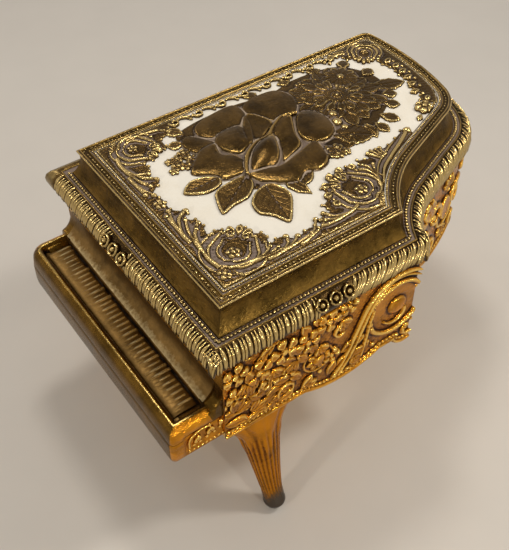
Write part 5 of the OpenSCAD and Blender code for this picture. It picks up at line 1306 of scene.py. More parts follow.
def side_forms(field, y0, flip):
    """The ornament of a long side: the big scroll and its oval boss, the S-band, the rosette and the flowers.

    The field's first axis is the length along the wall. y0 is where the front edge lies on it and flip is 1 when
    the length grows with the distance from the front, -1 when it shrinks.
    """
    def at(y, z):
        return y0 + flip * y, RIM_Z + z

    def ribs(points, w0, w1, height, base=0.35, ball=0.0, middle=None):
        sweep(field, [at(*p) for p in points], w0, w1, height, base, ball, middle)

    def spiral(y, z, r0, r1, a0, a1, w0, w1, height, eye, base=0.35):
        n = int(abs(a1 - a0) / 6) + 6
        a = np.radians(np.linspace(a0, a1, n))
        r = np.linspace(r0, r1, n)
        path = [at(y + p * math.cos(q), z + p * math.sin(q)) for p, q in zip(r, a)]
        field.stroke(path, np.linspace(w0, w1, n), height, base)
        if eye:
            field.ball(*path[-1], eye, base, 0.75)

    def leaf(y, z, turn, length, width, low=0.3, high=0.6):
        field.petal(*at(y, z), turn if flip > 0 else 180 - turn, length, width, low, high, 0.5, 0.2, 0.55, 0.6, 0.2)

    # low leaves that fill the ground, in an even scatter
    for k in range(52):
        y, z = 3 + 50 * (k * 0.6180340 % 1), -5.5 - 35 * (k * 0.7548777 % 1)
        leaf(y, z, 137.5 * k, 7.4, 3.9, 0.22, 0.75)
    for k in range(10):
        leaf(51 + 12 * (k * 0.6180340 % 1), -28 - 16 * (k * 0.7548777 % 1), 137.5 * k, 5.2, 2.8, 0.22, 0.6)
    # the smooth dish inside the big scroll, its boss and the curl that wraps it
    field.lobe([at(69.5 + 9.6 * math.cos(a), -23.5 + 13.4 * math.sin(a)) for a in np.linspace(0, 6.283, 14)[:-1]], 0.3,
               (0, 0), 0.0, 0.0, 1.0, 0.1, 0.6)
    spiral(69.5, -23.5, 11.6, 10.0, 150, -170, 0.7, 0.9, 1.15, 1.2)
    field.ball(*at(70.5, -22.5), 3.6, 0.3, 0.36)
    spiral(70.0, -25.5, 5.0, 3.4, -150, 20, 0.4, 0.7, 0.85, 0.8)
    spiral(76.5, -37.5, 4.2, 1.2, 60, -250, 0.7, 0.5, 1.0, 1.2)
    for k in range(7):
        a = math.radians(215 + 17 * k)
        field.ball(*at(69.5 + 12.4 * math.cos(a), -24.5 + 14.6 * math.sin(a)), 0.85, 0.35, 0.9)
    # the thin double line that sweeps up to it
    for shift, w in ((0.0, 0.62), (2.3, 0.36)):
        ribs([(46 + shift, -40.5), (50.2 + shift, -33.5), (54.0 + shift, -24.0), (58.0 + shift, -14.5),
              (64 + shift, -9.3), (72, -8.4 - 0.5 * shift), (79.5 - 0.6 * shift, -11.5 - 0.6 * shift)],
             w, w, 1.15, 0.35, 0.9 if shift == 0 else 0.0, w)
    ribs([(57, -38), (58.4, -31), (59.4, -24), (60.6, -19)], 0.5, 0.3, 0.9, 0.3)
    # the pointed rosette in its ring, and small curls about it
    ring = [at(39.5 + 6.0 * math.cos(a), -27 + 5.6 * math.sin(a)) for a in np.linspace(0, 6.283, 13)[:-1]]
    field.lobe(ring, 0.3, (0, 0), 0.0, 0.45, 0.8, 0.1, 0.5)
    for k in range(8):
        leaf(39.5, -27, 45 * k + 12, 4.9, 2.5, 0.5, 0.55)
    field.ball(*at(39.5, -27), 2.3, 0.6, 0.5)
    spiral(28.0, -33, 3.6, 1.0, 200, -160, 0.6, 0.4, 1.0, 0.9)
    spiral(47.6, -19.5, 3.2, 0.9, 40, 380, 0.6, 0.5, 0.95, 0.9)
    for y, z, turn in ((9, -30, 60), (14, -34, 20), (19, -30, 100), (24, -37, 340), (12, -38, 350), (33, -38, 10)):
        for side in (-36, 0, 36):
            leaf(y, z, turn + side, 6.8, 3.3, 0.45, 0.9)
    # flowers and leaves in a garland below the rim
    for k, (y, z, r) in enumerate(((9.5, -12.5, 3.4), (17.5, -16.5, 3.8), (26.5, -13.5, 3.8), (35, -15.5, 3.4),
                                   (42.5, -11.5, 3.4), (50.0, -9.5, 2.6), (21.5, -23.5, 2.8), (10.0, -22.0, 3.0),
                                   (44.5, -28.5, 2.4), (28.5, -24.0, 2.2))):
        for j in range(5):
            a = 72 * j + 17 * k
            x, yy = at(y, z)
            field.petal(x + 0.5 * math.cos(math.radians(a)), yy + 0.5 * math.sin(math.radians(a)), a, 1.2 * r, r,
                        0.6, 1.0, 0.65, 0.16, 0.75, 0.15, 0.12)
        field.ball(*at(y, z), r * 0.3, 0.9, 0.75)
    for y, z, turn in ((13.5, -18.5, 250), (22.5, -19.0, 285), (31.0, -20.5, 240), (39.5, -20.5, 290), (5.0, -16, 200),
                       (47.5, -14.5, 300), (38.5, -8.5, 70), (22.0, -9.0, 100), (13.5, -8.8, 80), (30.5, -8.4, 95)):
        x, yy = at(y, z)
        a = turn if flip > 0 else 180 - turn
        for side in (-28, 0, 28):
            field.petal(x, yy, a + side, 5.4, 2.7, 0.5, 0.7, 0.6, 0.18, 0.6, 0.7, 0.2)
    for y, z, r in ((5.5, -25, 0.9), (17.5, -26.5, 0.8), (28.5, -38.5, 0.9), (19, -38.5, 0.9), (40.5, -34.0, 0.9),
                    (52, -41.5, 1.0), (66, -42.5, 1.0), (36.5, -39.8, 0.9), (82.5, -24, 0.9), (81, -8.4, 1.1)):
        field.ball(*at(y, z), r, 0.35, 0.8)
    acanthus(field, *at(62, -6.6), 90, 3.4, 1.8, 0.4)


def round_forms(field, low, high):
    """The ornament of the bentside and tail: scrolls in pairs with a flower between, under a garland."""
    middle = RIM_Z - 24.5
    count = 4
    for k in range(count):
        s = low + (high - low) * (k + 0.5) / count
        span = (high - low) / count
        field.lobe([(s + 3.6 * math.cos(a), middle + 5.4 * math.sin(a)) for a in np.linspace(0, 6.283, 11)[:-1]], 0.5,
                   (0, 0), 0.9, 0.35, 0.9, 0.2)
        for side in (-1, 1):
            field.curl(s + side * span * 0.27, middle + 1.5, 6.0, 1.3, 90 - side * 60, 90 + side * 300, 1.15, 0.7, 1.15,
                       0.35, 1.3)
            field.curl(s + side * span * 0.30, middle - 11.0, 4.0, 1.0, -90 + side * 40, -90 - side * 320, 0.9, 0.6,
                       1.0, 0.35, 1.0)
            sweep(field, [(s + side * 1.0, middle - 8.0), (s + side * 4.4, middle - 6.0),
                          (s + side * 6.0, middle - 1.0)], 0.6, 0.5, 0.8, 0.35, 0.8)
        acanthus(field, s, middle + 8.5, 90, 6.2, 2.6, 0.45)
        acanthus(field, s, middle - 8.5, -90, 5.0, 2.4, 0.45)
        floret(field, s + span / 2, middle + 10.5, 4.2, 6, 10, 0.6)
        floret(field, s + span / 2, middle - 3.0, 3.0, 5, 30, 0.6)
        for dz in (-13.5, 4.0, 15.0):
            field.ball(s + span / 2, middle + dz, 0.9, 0.35, 0.8)


def build_walls(finish):
    """Three thin castings over the wall, following its curve and its scalloped apron."""
    foot = APRON_Z - SCALLOP
    spans = (("wall_treble", FRONT_Y - WALL_INSET, TREBLE_END), ("wall_round", TREBLE_END, SPINE_START),
             ("wall_bass", SPINE_START, WALL_LENGTH - (FRONT_Y - WALL_INSET)))
    for name, low, high in spans:
        field = Relief((low, foot - 0.3), (high, CASE_TOP), WALL_STEP)
        if name == "wall_treble":
            side_forms(field, -WALL_INSET, 1)
        elif name == "wall_bass":
            side_forms(field, WALL_LENGTH + WALL_INSET, -1)
            length = TREBLE_LEN
            start = low
            round_forms(field, start, WALL_LENGTH - length)
        else:
            round_forms(field, low, high)
        gs, gz = np.meshgrid(field.xs, field.ys, indexing="ij")
        y = np.interp(gs, WALL_S, WALL[:, 1])
        edge = gz - apron_foot(y)
        # a smooth skin with a gently pitted ground, a rolled edge along the apron and a plain band under the rim
        skin = 0.24 + 0.05 * np.sin(gs * 2.9 + 1.3 * np.sin(gz * 2.1)) * np.sin(gz * 3.1)
        field.h = np.maximum(field.h, skin)
        lip = 1.05 * np.sqrt(np.clip(1 - ((edge - 1.0) / 1.0) ** 2, 0, 1))
        field.h = np.maximum(field.h * smoothstep((edge - 1.2) / 1.2 + 0.3), lip)
        beads = (edge > 2.1) & (edge < 3.5)
        bead_s = (gs % 1.5) / 1.5 * 2 - 1
        dot = 0.3 + 0.62 * np.sqrt(np.clip(1 - bead_s ** 2 - ((edge - 2.8) / 0.66) ** 2, 0, 1))
        field.h = np.where(beads, np.maximum(dot, 0.2), field.h)
        top = CASE_TOP - gz
        rail = 0.85 * np.sqrt(np.clip(1 - ((top - 1.1) / 1.0) ** 2, 0, 1))
        field.h = np.where(top < 2.3, np.maximum(rail, 0.2), field.h)
        field.h = np.where(edge > 0, np.minimum(field.h, 1.65), 0)
        if name == "wall_treble" or name == "wall_bass":
            front = (gs - low) if name == "wall_treble" else (high - gs)
            field.h = np.where((front < 0.5) & (edge > 0), 0.24, field.h)
        points, faces, depth = field.mesh(0.0, place=on_wall)
        piece = make_piece(name, points, faces, finish, "case", 0, {"depth": depth})
        if name == "wall_treble":
            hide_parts("case_relief")


# ---- The key bed and the keys ----
RAIL_Z = BED_LOW[2] + 14.5
TRAY_Z = RAIL_Z - 2.6
LEDGE_Z = RAIL_Z + 0.6
BED_LEFT = BED_LOW[0] - RIM_LOW[0]
BED_RIGHT = BED_HIGH[0] - RIM_LOW[0]
BED_FRONT = BED_LOW[1] - RIM_LOW[1]
BED_FOOT = BED_LOW[2]
BED_HEAD = BED_HIGH[2]
CORNER_R = 6.0
CHEEK_W = 6.5
LEDGE_Y = 0.4
SWEEP_R = 7.0


def bed_border(inset, step=0.7):
    """The key bed's plan from its bass back corner round the front to its treble back corner, inset."""
    r = max(CORNER_R - inset, 0.4)
    crisp = max(1.9 - inset, 0.4)
    left, right, front, back = BED_LEFT + inset, BED_RIGHT - inset, BED_FRONT + inset, FRONT_Y
    turn = max(6, round(CORNER_R * 1.6 / step))
    return np.concatenate([
        line((left, back), (left, front + r), round((back - BED_FRONT) / step)),
        arc((left + r, front + r), r, 180, 270, turn),
        line((left + r, front), (right - crisp, front), round((BED_RIGHT - BED_LEFT) / step)),
        arc((right - crisp, front + crisp), crisp, 270, 360, turn),
        line((right, front + crisp), (right, back), round((back - BED_FRONT) / step)),
        [[right, back]],
    ])


def build_key_rail(finish, end_finish):
    """The casting's outside: a rounded front rail that runs back along both cheeks, over a hollow underside."""
    wall = 2.0
    section = [
        (wall + 0.2, TRAY_Z - 2.2, 0.7), (wall + 0.2, BED_FOOT + 0.3, 0.6), (wall, BED_FOOT, 0.5), (0.9, BED_FOOT, 0.3),
        (0.45, BED_FOOT + 0.25, 0.2), (0.15, BED_FOOT + 1.0, 0.4), (0.0, BED_FOOT + 2.6, 0.5),
        (0.0, BED_FOOT + 5.2, 0.5), (0.05, BED_FOOT + 7.2, 0.45), (0.1, BED_FOOT + 8.6, 0.35),
        (0.28, BED_FOOT + 8.9, 0.85), (0.24, BED_FOOT + 9.2, 0.3),
        (0.35, BED_FOOT + 10.4, 0.5), (0.7, RAIL_Z - 2.0, 0.5), (1.2, RAIL_Z - 1.1, 0.45), (1.9, RAIL_Z - 0.4, 0.4),
        (2.6, RAIL_Z - 0.06, 0.3), (3.1, RAIL_Z, 0.12), (3.5, RAIL_Z - 0.1, 0.3), (4.0, RAIL_Z - 0.5, 0.6),
        (4.5, RAIL_Z - 1.0, 0.7), (5.0, TRAY_Z + 0.3, 0.8), (5.15, TRAY_Z - 0.3, 0.9), (5.15, TRAY_Z - 2.2, 0.9),
    ]
    rows, depth = [], []
    for inset, z, shade in section:
        ring = bed_border(inset)
        if BED_FOOT + 2.2 < z < BED_FOOT + 9.5 and inset < 1.0:
            on_end = smoothstep((ring[:, 1] - BED_FRONT - 4.0) / 1.5)
            ring[:, 0] -= 0.8 * on_end * np.where(ring[:, 0] > RIM_W / 2, 1.0, -1.0)
        rows.append(at_height(ring, z))
        depth += [shade] * len(ring)
    n = len(rows[0])
    faces = [tuple(f) for f in ring_faces(len(rows), n, closed_rows=True, closed_across=False)]
    faces.append(tuple(i * n for i in range(len(rows))))
    faces.append(tuple(i * n + n - 1 for i in range(len(rows) - 1, -1, -1)))
    piece = make_piece("key_rail", np.concatenate(rows), faces, finish, "case", 50.0, {"depth": depth},
                       turn_out=True)
    piece.data.materials.append(end_finish)
    for face in piece.data.polygons:
        if abs(face.normal.x) > 0.3 and abs(face.center.x) > (RIM_W / 2 - 6.0) * MM:
            face.material_index = 1


def build_key_tray(finish):
    """The tray, the worn ledge behind the keys and the sweep up to the fall board, worn uneven by hands."""
    left, right = BED_LEFT + 4.6, BED_RIGHT - 4.6
    profile = [(BED_FRONT + 4.9, TRAY_Z - 0.1, 0.9), (BED_FRONT + 5.6, TRAY_Z, 0.7),
               (BED_FRONT + 7.5, TRAY_Z + 0.02, 0.5), (LEDGE_Y - 1.0, TRAY_Z + 0.02, 0.6),
               (LEDGE_Y - 0.5, TRAY_Z - 0.1, 0.97), (LEDGE_Y - 0.15, TRAY_Z + 0.1, 0.95),
               (LEDGE_Y, TRAY_Z + 1.0, 0.85), (LEDGE_Y + 0.1, LEDGE_Z - 1.1, 0.6), (LEDGE_Y + 0.4, LEDGE_Z - 0.35, 0.2),
               (LEDGE_Y + 1.0, LEDGE_Z, 0.1)]
    for a in np.linspace(292, 360, 12):
        profile.append((FRONT_Y - SWEEP_R + SWEEP_R * math.cos(math.radians(a)) - 0.05,
                        LEDGE_Z + SWEEP_R + SWEEP_R * math.sin(math.radians(a)), 0.25 + 0.45 * (a - 292) / 68))
    profile += [(FRONT_Y, BED_HEAD, 0.4), (FRONT_Y, TRAY_Z - 2.0, 0.9), (BED_FRONT + 4.9, TRAY_Z - 2.0, 0.9)]
    xs = np.linspace(left, right, 160)
    rows, depth = [], []
    for x in xs:
        end = min(x - left, right - x)
        for y, z, shade in profile:
            worn = 0.10 * math.sin(x * 0.9 + y * 1.7) * math.sin(x * 0.37 + 2) + 0.05 * math.sin(x * 2.7 + y)
            on_ledge = LEDGE_Z - 0.5 < z < LEDGE_Z + 1.5
            drop = 0.35 * smoothstep(1 - end / 3.0) if on_ledge else 0.0
            rows.append((x, y, z + (worn if on_ledge and y < FRONT_Y - 1 else 0.0) - float(drop)))
            depth.append(shade)
    n = len(profile)
    faces = [tuple(f) for f in ring_faces(len(xs), n)]
    faces.append(tuple(range(n - 1, -1, -1)))
    faces.append(tuple(range((len(xs) - 1) * n, len(xs) * n)))
    piece = make_piece("key_tray", rows, faces, finish, "case", 45.0, {"depth": depth}, turn_out=True)
    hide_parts("key_bed")


def build_cheeks(finish):
    """The low cheeks at each end of the keys, running back under the rim's corner blocks."""
    for name, x0, x1, out in (("cheek_bass", BED_LEFT + 0.35, BED_LEFT + CHEEK_W, -1),
                              ("cheek_treble", BED_RIGHT - CHEEK_W, BED_RIGHT - 0.35, 1)):
        ys = np.concatenate([np.linspace(BED_FRONT + 6.5, LEDGE_Y - 1, 8), np.linspace(LEDGE_Y, FRONT_Y, 16)])
        rows, depth = [], []
        for y in ys:
            t = np.clip((y - LEDGE_Y) / (FRONT_Y - LEDGE_Y), 0, 1)
            sweep_z = LEDGE_Z + SWEEP_R - math.sqrt(max(SWEEP_R ** 2 - (SWEEP_R * t) ** 2, 0)) if t > 0 else 0.0
            top = min(max(sweep_z, RAIL_Z - 0.9), BED_HEAD)
            clear = 2.9 * (1 - float(smoothstep((y - LEDGE_Y + 3.0) / 4.0)))
            outer, inner = (x0 + clear, x1) if out < 0 else (x1 - clear, x0)
            across = inner - outer
            low = max(TRAY_Z + 0.5, sweep_z - 0.4)
            section = [(outer, TRAY_Z - 1.5, 0.6), (outer, top - 0.6, 0.5), (outer + 0.06 * across, top - 0.15, 0.3),
                       (outer + 0.25 * across, top, 0.35), (outer + 0.5 * across, top - 0.1 * (top - low), 0.45),
                       (outer + 0.75 * across, top - 0.55 * (top - low), 0.6), (inner, low, 0.75),
                       (inner, TRAY_Z - 1.5, 0.9)]
            for x, z, shade in section:
                rows.append((x, y, z))
                depth.append(shade)
        n = 8
        faces = [tuple(f) for f in ring_faces(len(ys), n)]
        faces.append(tuple(range(n - 1, -1, -1)))
        faces.append(tuple(range((len(ys) - 1) * n, len(ys) * n)))
        make_piece(name, rows, faces, finish, "case", 45.0, {"depth": depth}, turn_out=True)


def key_part(length, width, height):
    """One worn key: a low round-topped ridge that fades out towards the front."""
    points, faces, depth = [], [], []
    stations = [(0.0, 0.05), (0.08, 0.3), (0.3, 0.7), (0.6, 0.95), (0.92, 1.0), (1.0, 0.4)]
    section = [(-0.5, -0.4), (-0.42, 0.3), (-0.25, 0.8), (0.0, 1.0), (0.25, 0.8), (0.42, 0.3), (0.5, -0.4)]
    for t, rise in stations:
        for u, v in section:
            points.append((u * width, t * length, v * height * rise if v > 0 else v * height))
            # the ridge's top is set lighter and its sides darker: rubbed wear with painted highlight on top, painted
            # shade on the flanks
            depth.append(0.8 if v < 0 else float(np.clip(0.62 - 0.55 * v * rise, 0, 1)))
    n = len(section)
    faces += [(i * n + j, i * n + j + 1, (i + 1) * n + j + 1, (i + 1) * n + j)
              for i in range(len(stations) - 1) for j in range(n - 1)]
    faces = [tuple(reversed(f)) for f in faces]
    faces.append(tuple(range(n)))
    faces.append(tuple(range(len(stations) * n - 1, (len(stations) - 1) * n - 1, -1)))
    return points, faces, depth


def build_keys(finish, pitch):
    """The keyboard: a raised cast block with a flat front and a band of worn key ridges."""
    low, high = box_mm("keyboard")
    x0, x1 = low[0] - RIM_LOW[0], high[0] - RIM_LOW[0]
    y0, y1 = low[1] - RIM_LOW[1], LEDGE_Y - 0.35
    z0 = low[2]
    top = 1.05
    xs = np.linspace(x0, x1, 200)
    profile = [(y0 - 0.8, z0, 0.9), (y0 - 0.45, z0 + 0.4, 0.75), (y0 + 0.3, z0 + top - 0.2, 0.6),
               (y0 + 1.2, z0 + top, 0.5),
               (y0 + (y1 - y0) * 0.34, z0 + top, 0.55), (y0 + (y1 - y0) * 0.42, z0 + top, 0.62),
               (y1 - 0.9, z0 + top, 0.62), (y1 - 0.3, z0 + top - 0.1, 0.6), (y1, z0 + top - 0.45, 0.95), (y1, z0, 0.98)]
    rows, depth = [], []
    for x in xs:
        end = min(x - x0, x1 - x)
        for y, z, shade in profile:
            worn = 0.07 * math.sin(1.9 * x + 1.3 * y) * math.sin(0.7 * x) + 0.04 * math.sin(4.3 * x)
            rows.append((x, y, z + (worn if z > z0 + 0.5 else 0) - (0.3 * max(0.0, 1 - end / 0.8) if z > z0 else 0)))
            depth.append(shade)
    n = len(profile)
    faces = [tuple(f) for f in ring_faces(len(xs), n)]
    faces.append(tuple(range(n - 1, -1, -1)))
    faces.append(tuple(range((len(xs) - 1) * n, len(xs) * n)))
    piece = make_piece("key_strip", rows, faces, finish, "case", 50.0, {"depth": depth}, turn_out=True)
    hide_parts("keyboard")
    length = (y1 - y0) * 0.80
    points, faces, depth = key_part(length, pitch * 0.5, 0.46)
    points = [(x, y - length / 2, z) for x, y, z in points]
    middle = y1 - length / 2 - 0.35
    path = line((x0 + 1.3, middle), (x1 - 1.3, middle), 60)
    stand_row("key_ridges", [(at_height(path, z0 + top - 0.05), False)], points, faces, depth, pitch, finish, "case",
              0.22, 21, 60.0)


def build_bed_ornament(finish):
    """Leaves and beads along the lower edge of the key bed's ends."""
    for name, x, out in (("bed_end_treble", BED_RIGHT, 1), ("bed_end_bass", BED_LEFT, -1)):
        field = Relief((BED_FRONT + 5.6, BED_FOOT + 0.1), (FRONT_Y, RAIL_Z - 1.9), 0.25)
        z = BED_FOOT
        rope(field, [(BED_FRONT + 6.2, z + 1.4), (FRONT_Y - 0.6, z + 1.4)], 0.6, 0.5, 0.1, 1.35)
        for y, h, a in ((-5.6, 3.6, 60), (-3.4, 3.8, 100), (-1.0, 4.2, 70), (1.6, 4.6, 110), (3.6, 5.4, 80)):
            field.petal(y, z + h, a, 3.6, 1.9, 0.25, 0.45, 0.3, 0.15, 0.55, 0.5, 0.12)
            field.ball(y, z + h - 0.2, 0.7, 0.1, 0.6)
        sweep(field, [(-7.2, z + 3.0), (-6.8, z + 7.0), (-3.6, z + 9.2), (0.0, z + 9.0)], 0.5, 0.3, 0.45, 0.1, 0.6)
        field.h = np.minimum(field.h, 0.75)

        def place(points, x=x, out=out):
            return np.column_stack([x + out * (points[:, 2] - 0.8), points[:, 0], points[:, 1]])

        points, faces, depth = field.mesh(0.0, place=place, sink=0.2)
        make_piece(name, points, faces, finish, "case", 0, {"depth": depth}, turn_out=True)


# ---- The legs ----
LEG_W, LEG_D = 19.0, 9.0


def build_leg(name, node, finish, screw, turn, reach, foot_r):
    """A fluted, leaf-topped leg that splays out to a rounded foot with a flat sole."""
    around, rings = 144, 90
    ankle_r, ankle_z = foot_r - 0.25, foot_r + 0.5
    inner = 0.8
    rows, depth = [], []
    angles = 2 * np.pi * np.arange(around) / around
    sole = 0.6 * foot_r
    foot = [(sole, 0.0, 0.8), (sole + 0.05, 0.02, 0.6)]
    for a in np.linspace(-58, -6, 9):
        foot.append((foot_r * math.cos(math.radians(a)), foot_r + foot_r * math.sin(math.radians(a)), 0.35))
    for r, z, shade in foot:
        r = max(r, sole) if z < 1 else r
        rows.append(np.column_stack([reach + r * np.cos(angles), r * np.sin(angles), np.full(around, max(z, 0.0))]))
        depth.append(np.full(around, shade))
    for i in range(rings):
        t = i / (rings - 1)
        z = ankle_z + (APRON_Z - ankle_z) * t
        half_w = ankle_r + (LEG_W / 2 - ankle_r) * t ** 1.15 + 5.0 * float(smoothstep((t - 0.70) / 0.30)) ** 2
        half_d = ankle_r + (LEG_D / 2 - ankle_r) * t
        cx = reach + (inner - reach) * t ** 0.8
        flutes = 0.5 + 0.5 * np.cos(22 * angles + 0.7 * math.sin(7 * t))
        strength = 0.26 * smoothstep(t / 0.18) * (1 - 0.75 * smoothstep((t - 0.72) / 0.14))
        cut = strength * flutes
        # acanthus leaves that hang from the top, three on the outer face
        leaf = np.zeros(around)
        for centre, wide, drop in ((0.0, 0.62, 0.50), (0.95, 0.5, 0.62), (-0.95, 0.5, 0.62), (1.75, 0.5, 0.55),
                                   (-1.75, 0.5, 0.55), (2.7, 0.55, 0.6), (-2.7, 0.55, 0.6)):
            u = (t - drop) / (1 - drop)
            if u <= 0:
                continue
            off = (angles - centre + np.pi) % (2 * np.pi) - np.pi
            half = wide * (u ** 0.6) * (1 - 0.04 * abs(math.sin(u * 16)))
            edge = np.clip(1 - np.abs(off) / half, 0, 1)
            vein = 0.25 * np.exp(-(off / 0.05) ** 2)
            leaf = np.maximum(leaf, (0.35 * smoothstep(edge * 3) + 0.15 * edge - 0.6 * vein) * min(1, u * 4))
        bump = leaf - cut + 0.35 * (1 - float(smoothstep(t / 0.12)))
        scale_w, scale_d = 1 + (bump - 0.35) / half_w, 1 + (bump - 0.35) / half_d
        rows.append(np.column_stack([cx + half_d * scale_d * np.cos(angles), half_w * scale_w * np.sin(angles),
                                     np.full(around, z)]))
        # depth is high in the flutes' cuts and along the leaves' edges and lower on the raised leaves; the finish turns
        # it into grime and painted shade
        grime_and_shade = 0.40 + 1.2 * cut - 0.3 * leaf + 0.15 * np.exp(-((leaf - 0.10) / 0.12) ** 2) * (t > 0.5)
        depth.append(np.clip(grime_and_shade, 0, 1))
    points, faces = loft(rows)
    c, s = math.cos(math.radians(turn)), math.sin(math.radians(turn))
    x, y = points[:, 0] * c - points[:, 1] * s + screw[0], points[:, 0] * s + points[:, 1] * c + screw[1]
    depth = np.concatenate(depth)
    wear = np.clip(1.2 - points[:, 2] / 15.0, 0, 1)
    piece = make_piece(name, np.column_stack([x, y, points[:, 2]]), faces, finish, "case", 40.0,
                       {"depth": depth, "wear": wear}, turn_out=True)
    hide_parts(node)


def build_legs(finish):
    foot_r = 3.9
    leg_in = WALL_INSET + LEG_D / 2 + 0.8
    reach = leg_in + 3.0
    legs = (("leg_bass_casting", "leg_bass", (leg_in, 19.5), 180, reach),
            ("leg_treble_casting", "leg_treble", (RIM_W - leg_in, 19.5), 0, reach),
            ("leg_tail_casting", "leg_tail", (33.0, RIM_L - leg_in - 0.7), 90, leg_in - foot_r))
    for name, node, screw, turn, out in legs:
        build_leg(name, node, finish, screw, turn, out, foot_r)


# ---- The velvet lining ----
def side_limit(inset, y):
    """How far towards the treble side the plan reaches at a distance from the front, inset."""
    ring = outline(inset, 0.6)
    treble = ring[(ring[:, 0] > RIM_W * 0.5) & (ring[:, 1] > inset - 0.01)]
    treble = treble[np.argsort(treble[:, 1], kind="stable")]
    return np.interp(y, treble[:, 1], treble[:, 0])


def slab_mesh(x, y, low, high, shade):
    """A closed slab over a grid of places, with an underside and a top that may vary."""
    rows, across = x.shape
    top = np.column_stack([x.ravel(), y.ravel(), high.ravel()])
    under = np.column_stack([x.ravel(), y.ravel(), low.ravel()])
    n = rows * across
    faces = [tuple(f) for f in ring_faces(rows, across, closed_across=False)]
    faces += [tuple(n + i for i in reversed(f)) for f in faces]
    edge = [j for j in range(across)] + [i * across + across - 1 for i in range(1, rows)]
    edge += [(rows - 1) * across + j for j in range(across - 2, -1, -1)] + [i * across for i in range(rows - 2, 0, -1)]
    faces += [(a, b, n + b, n + a) for a, b in zip(edge, edge[1:] + edge[:1])]
    return np.concatenate([top, under]), faces, {"depth": np.concatenate([shade.ravel(), np.ones(n)])}


def settle_cloth(piece, pinned, most_mm):
    """Lets a pad's cover settle under its filling, and holds the pinned points and the movement of the rest."""
    before = np.array([v.co for v in piece.data.vertices])
    group = piece.vertex_groups.new(name="glued")
    group.add([int(i) for i in np.nonzero(pinned)[0]], 1.0, "REPLACE")
    cloth = piece.modifiers.new("cover", "CLOTH")
    cloth.settings.vertex_group_mass = "glued"
    cloth.settings.use_pressure = True
    cloth.settings.uniform_pressure_force = 4.0
    cloth.settings.effector_weights.gravity = 0.0
    cloth.settings.quality = 5
    cloth.settings.tension_stiffness = 8.0
    cloth.settings.bending_stiffness = 0.4
    scene = bpy.context.scene
    for step in range(1, 21):
        scene.frame_set(step)
    graph = bpy.context.evaluated_depsgraph_get()
    after = np.array([v.co for v in piece.evaluated_get(graph).data.vertices])
    piece.modifiers.clear()
    piece.vertex_groups.clear()
    scene.frame_set(1)
    moved = after - before
    far = np.linalg.norm(moved, axis=1)
    moved *= (np.minimum(far, most_mm * MM) / np.maximum(far, 1e-9))[:, None]
    for vertex, place in zip(piece.data.vertices, before + moved):
        vertex.co = place


def build_velvet_floor(finish):
    """The compartment's floor pad: velvet drawn over a card, soft at its edges."""
    low, high = box_mm("velvet_floor")
    low, high = low - [*ORIGIN[:2], 0], high - [*ORIGIN[:2], 0]
    inset = low[0]
    ys = np.concatenate([[low[1], low[1] + 0.25, low[1] + 0.7], np.linspace(low[1] + 1.4, high[1] - 1.4, 38),
                         [high[1] - 0.7, high[1] - 0.25, high[1]]])
    ts = np.concatenate([[0.0, 0.003, 0.008], np.linspace(0.016, 0.984, 44), [0.992, 0.997, 1.0]])
    y, t = np.meshgrid(ys, ts, indexing="ij")
    right = side_limit(inset, y)
    x = inset + t * (right - inset)
    edge = np.minimum(np.minimum(x - inset, right - x), np.minimum(y - low[1], high[1] - y))
    roll = np.sqrt(np.clip(1 - (1 - np.clip(edge / 0.9, 0, 1)) ** 2, 0, 1))
    nap = 0.06 * np.sin(x * 0.31 + 1.2 * np.sin(y * 0.17)) * smoothstep(edge / 4)
    top = low[2] + 0.5 + (high[2] - low[2] - 0.62) * roll + nap * roll
    points, faces, shades = slab_mesh(x, y, np.full_like(x, low[2]), top, 1 - roll * 0.8)
    piece = make_piece("floor_pad", points, faces, finish, "case", 0, shades, turn_out=True)
    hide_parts("velvet_floor")
    settle_cloth(piece, np.array([v.co.z for v in piece.data.vertices]) < (low[2] + 0.1) * MM, 0.25)


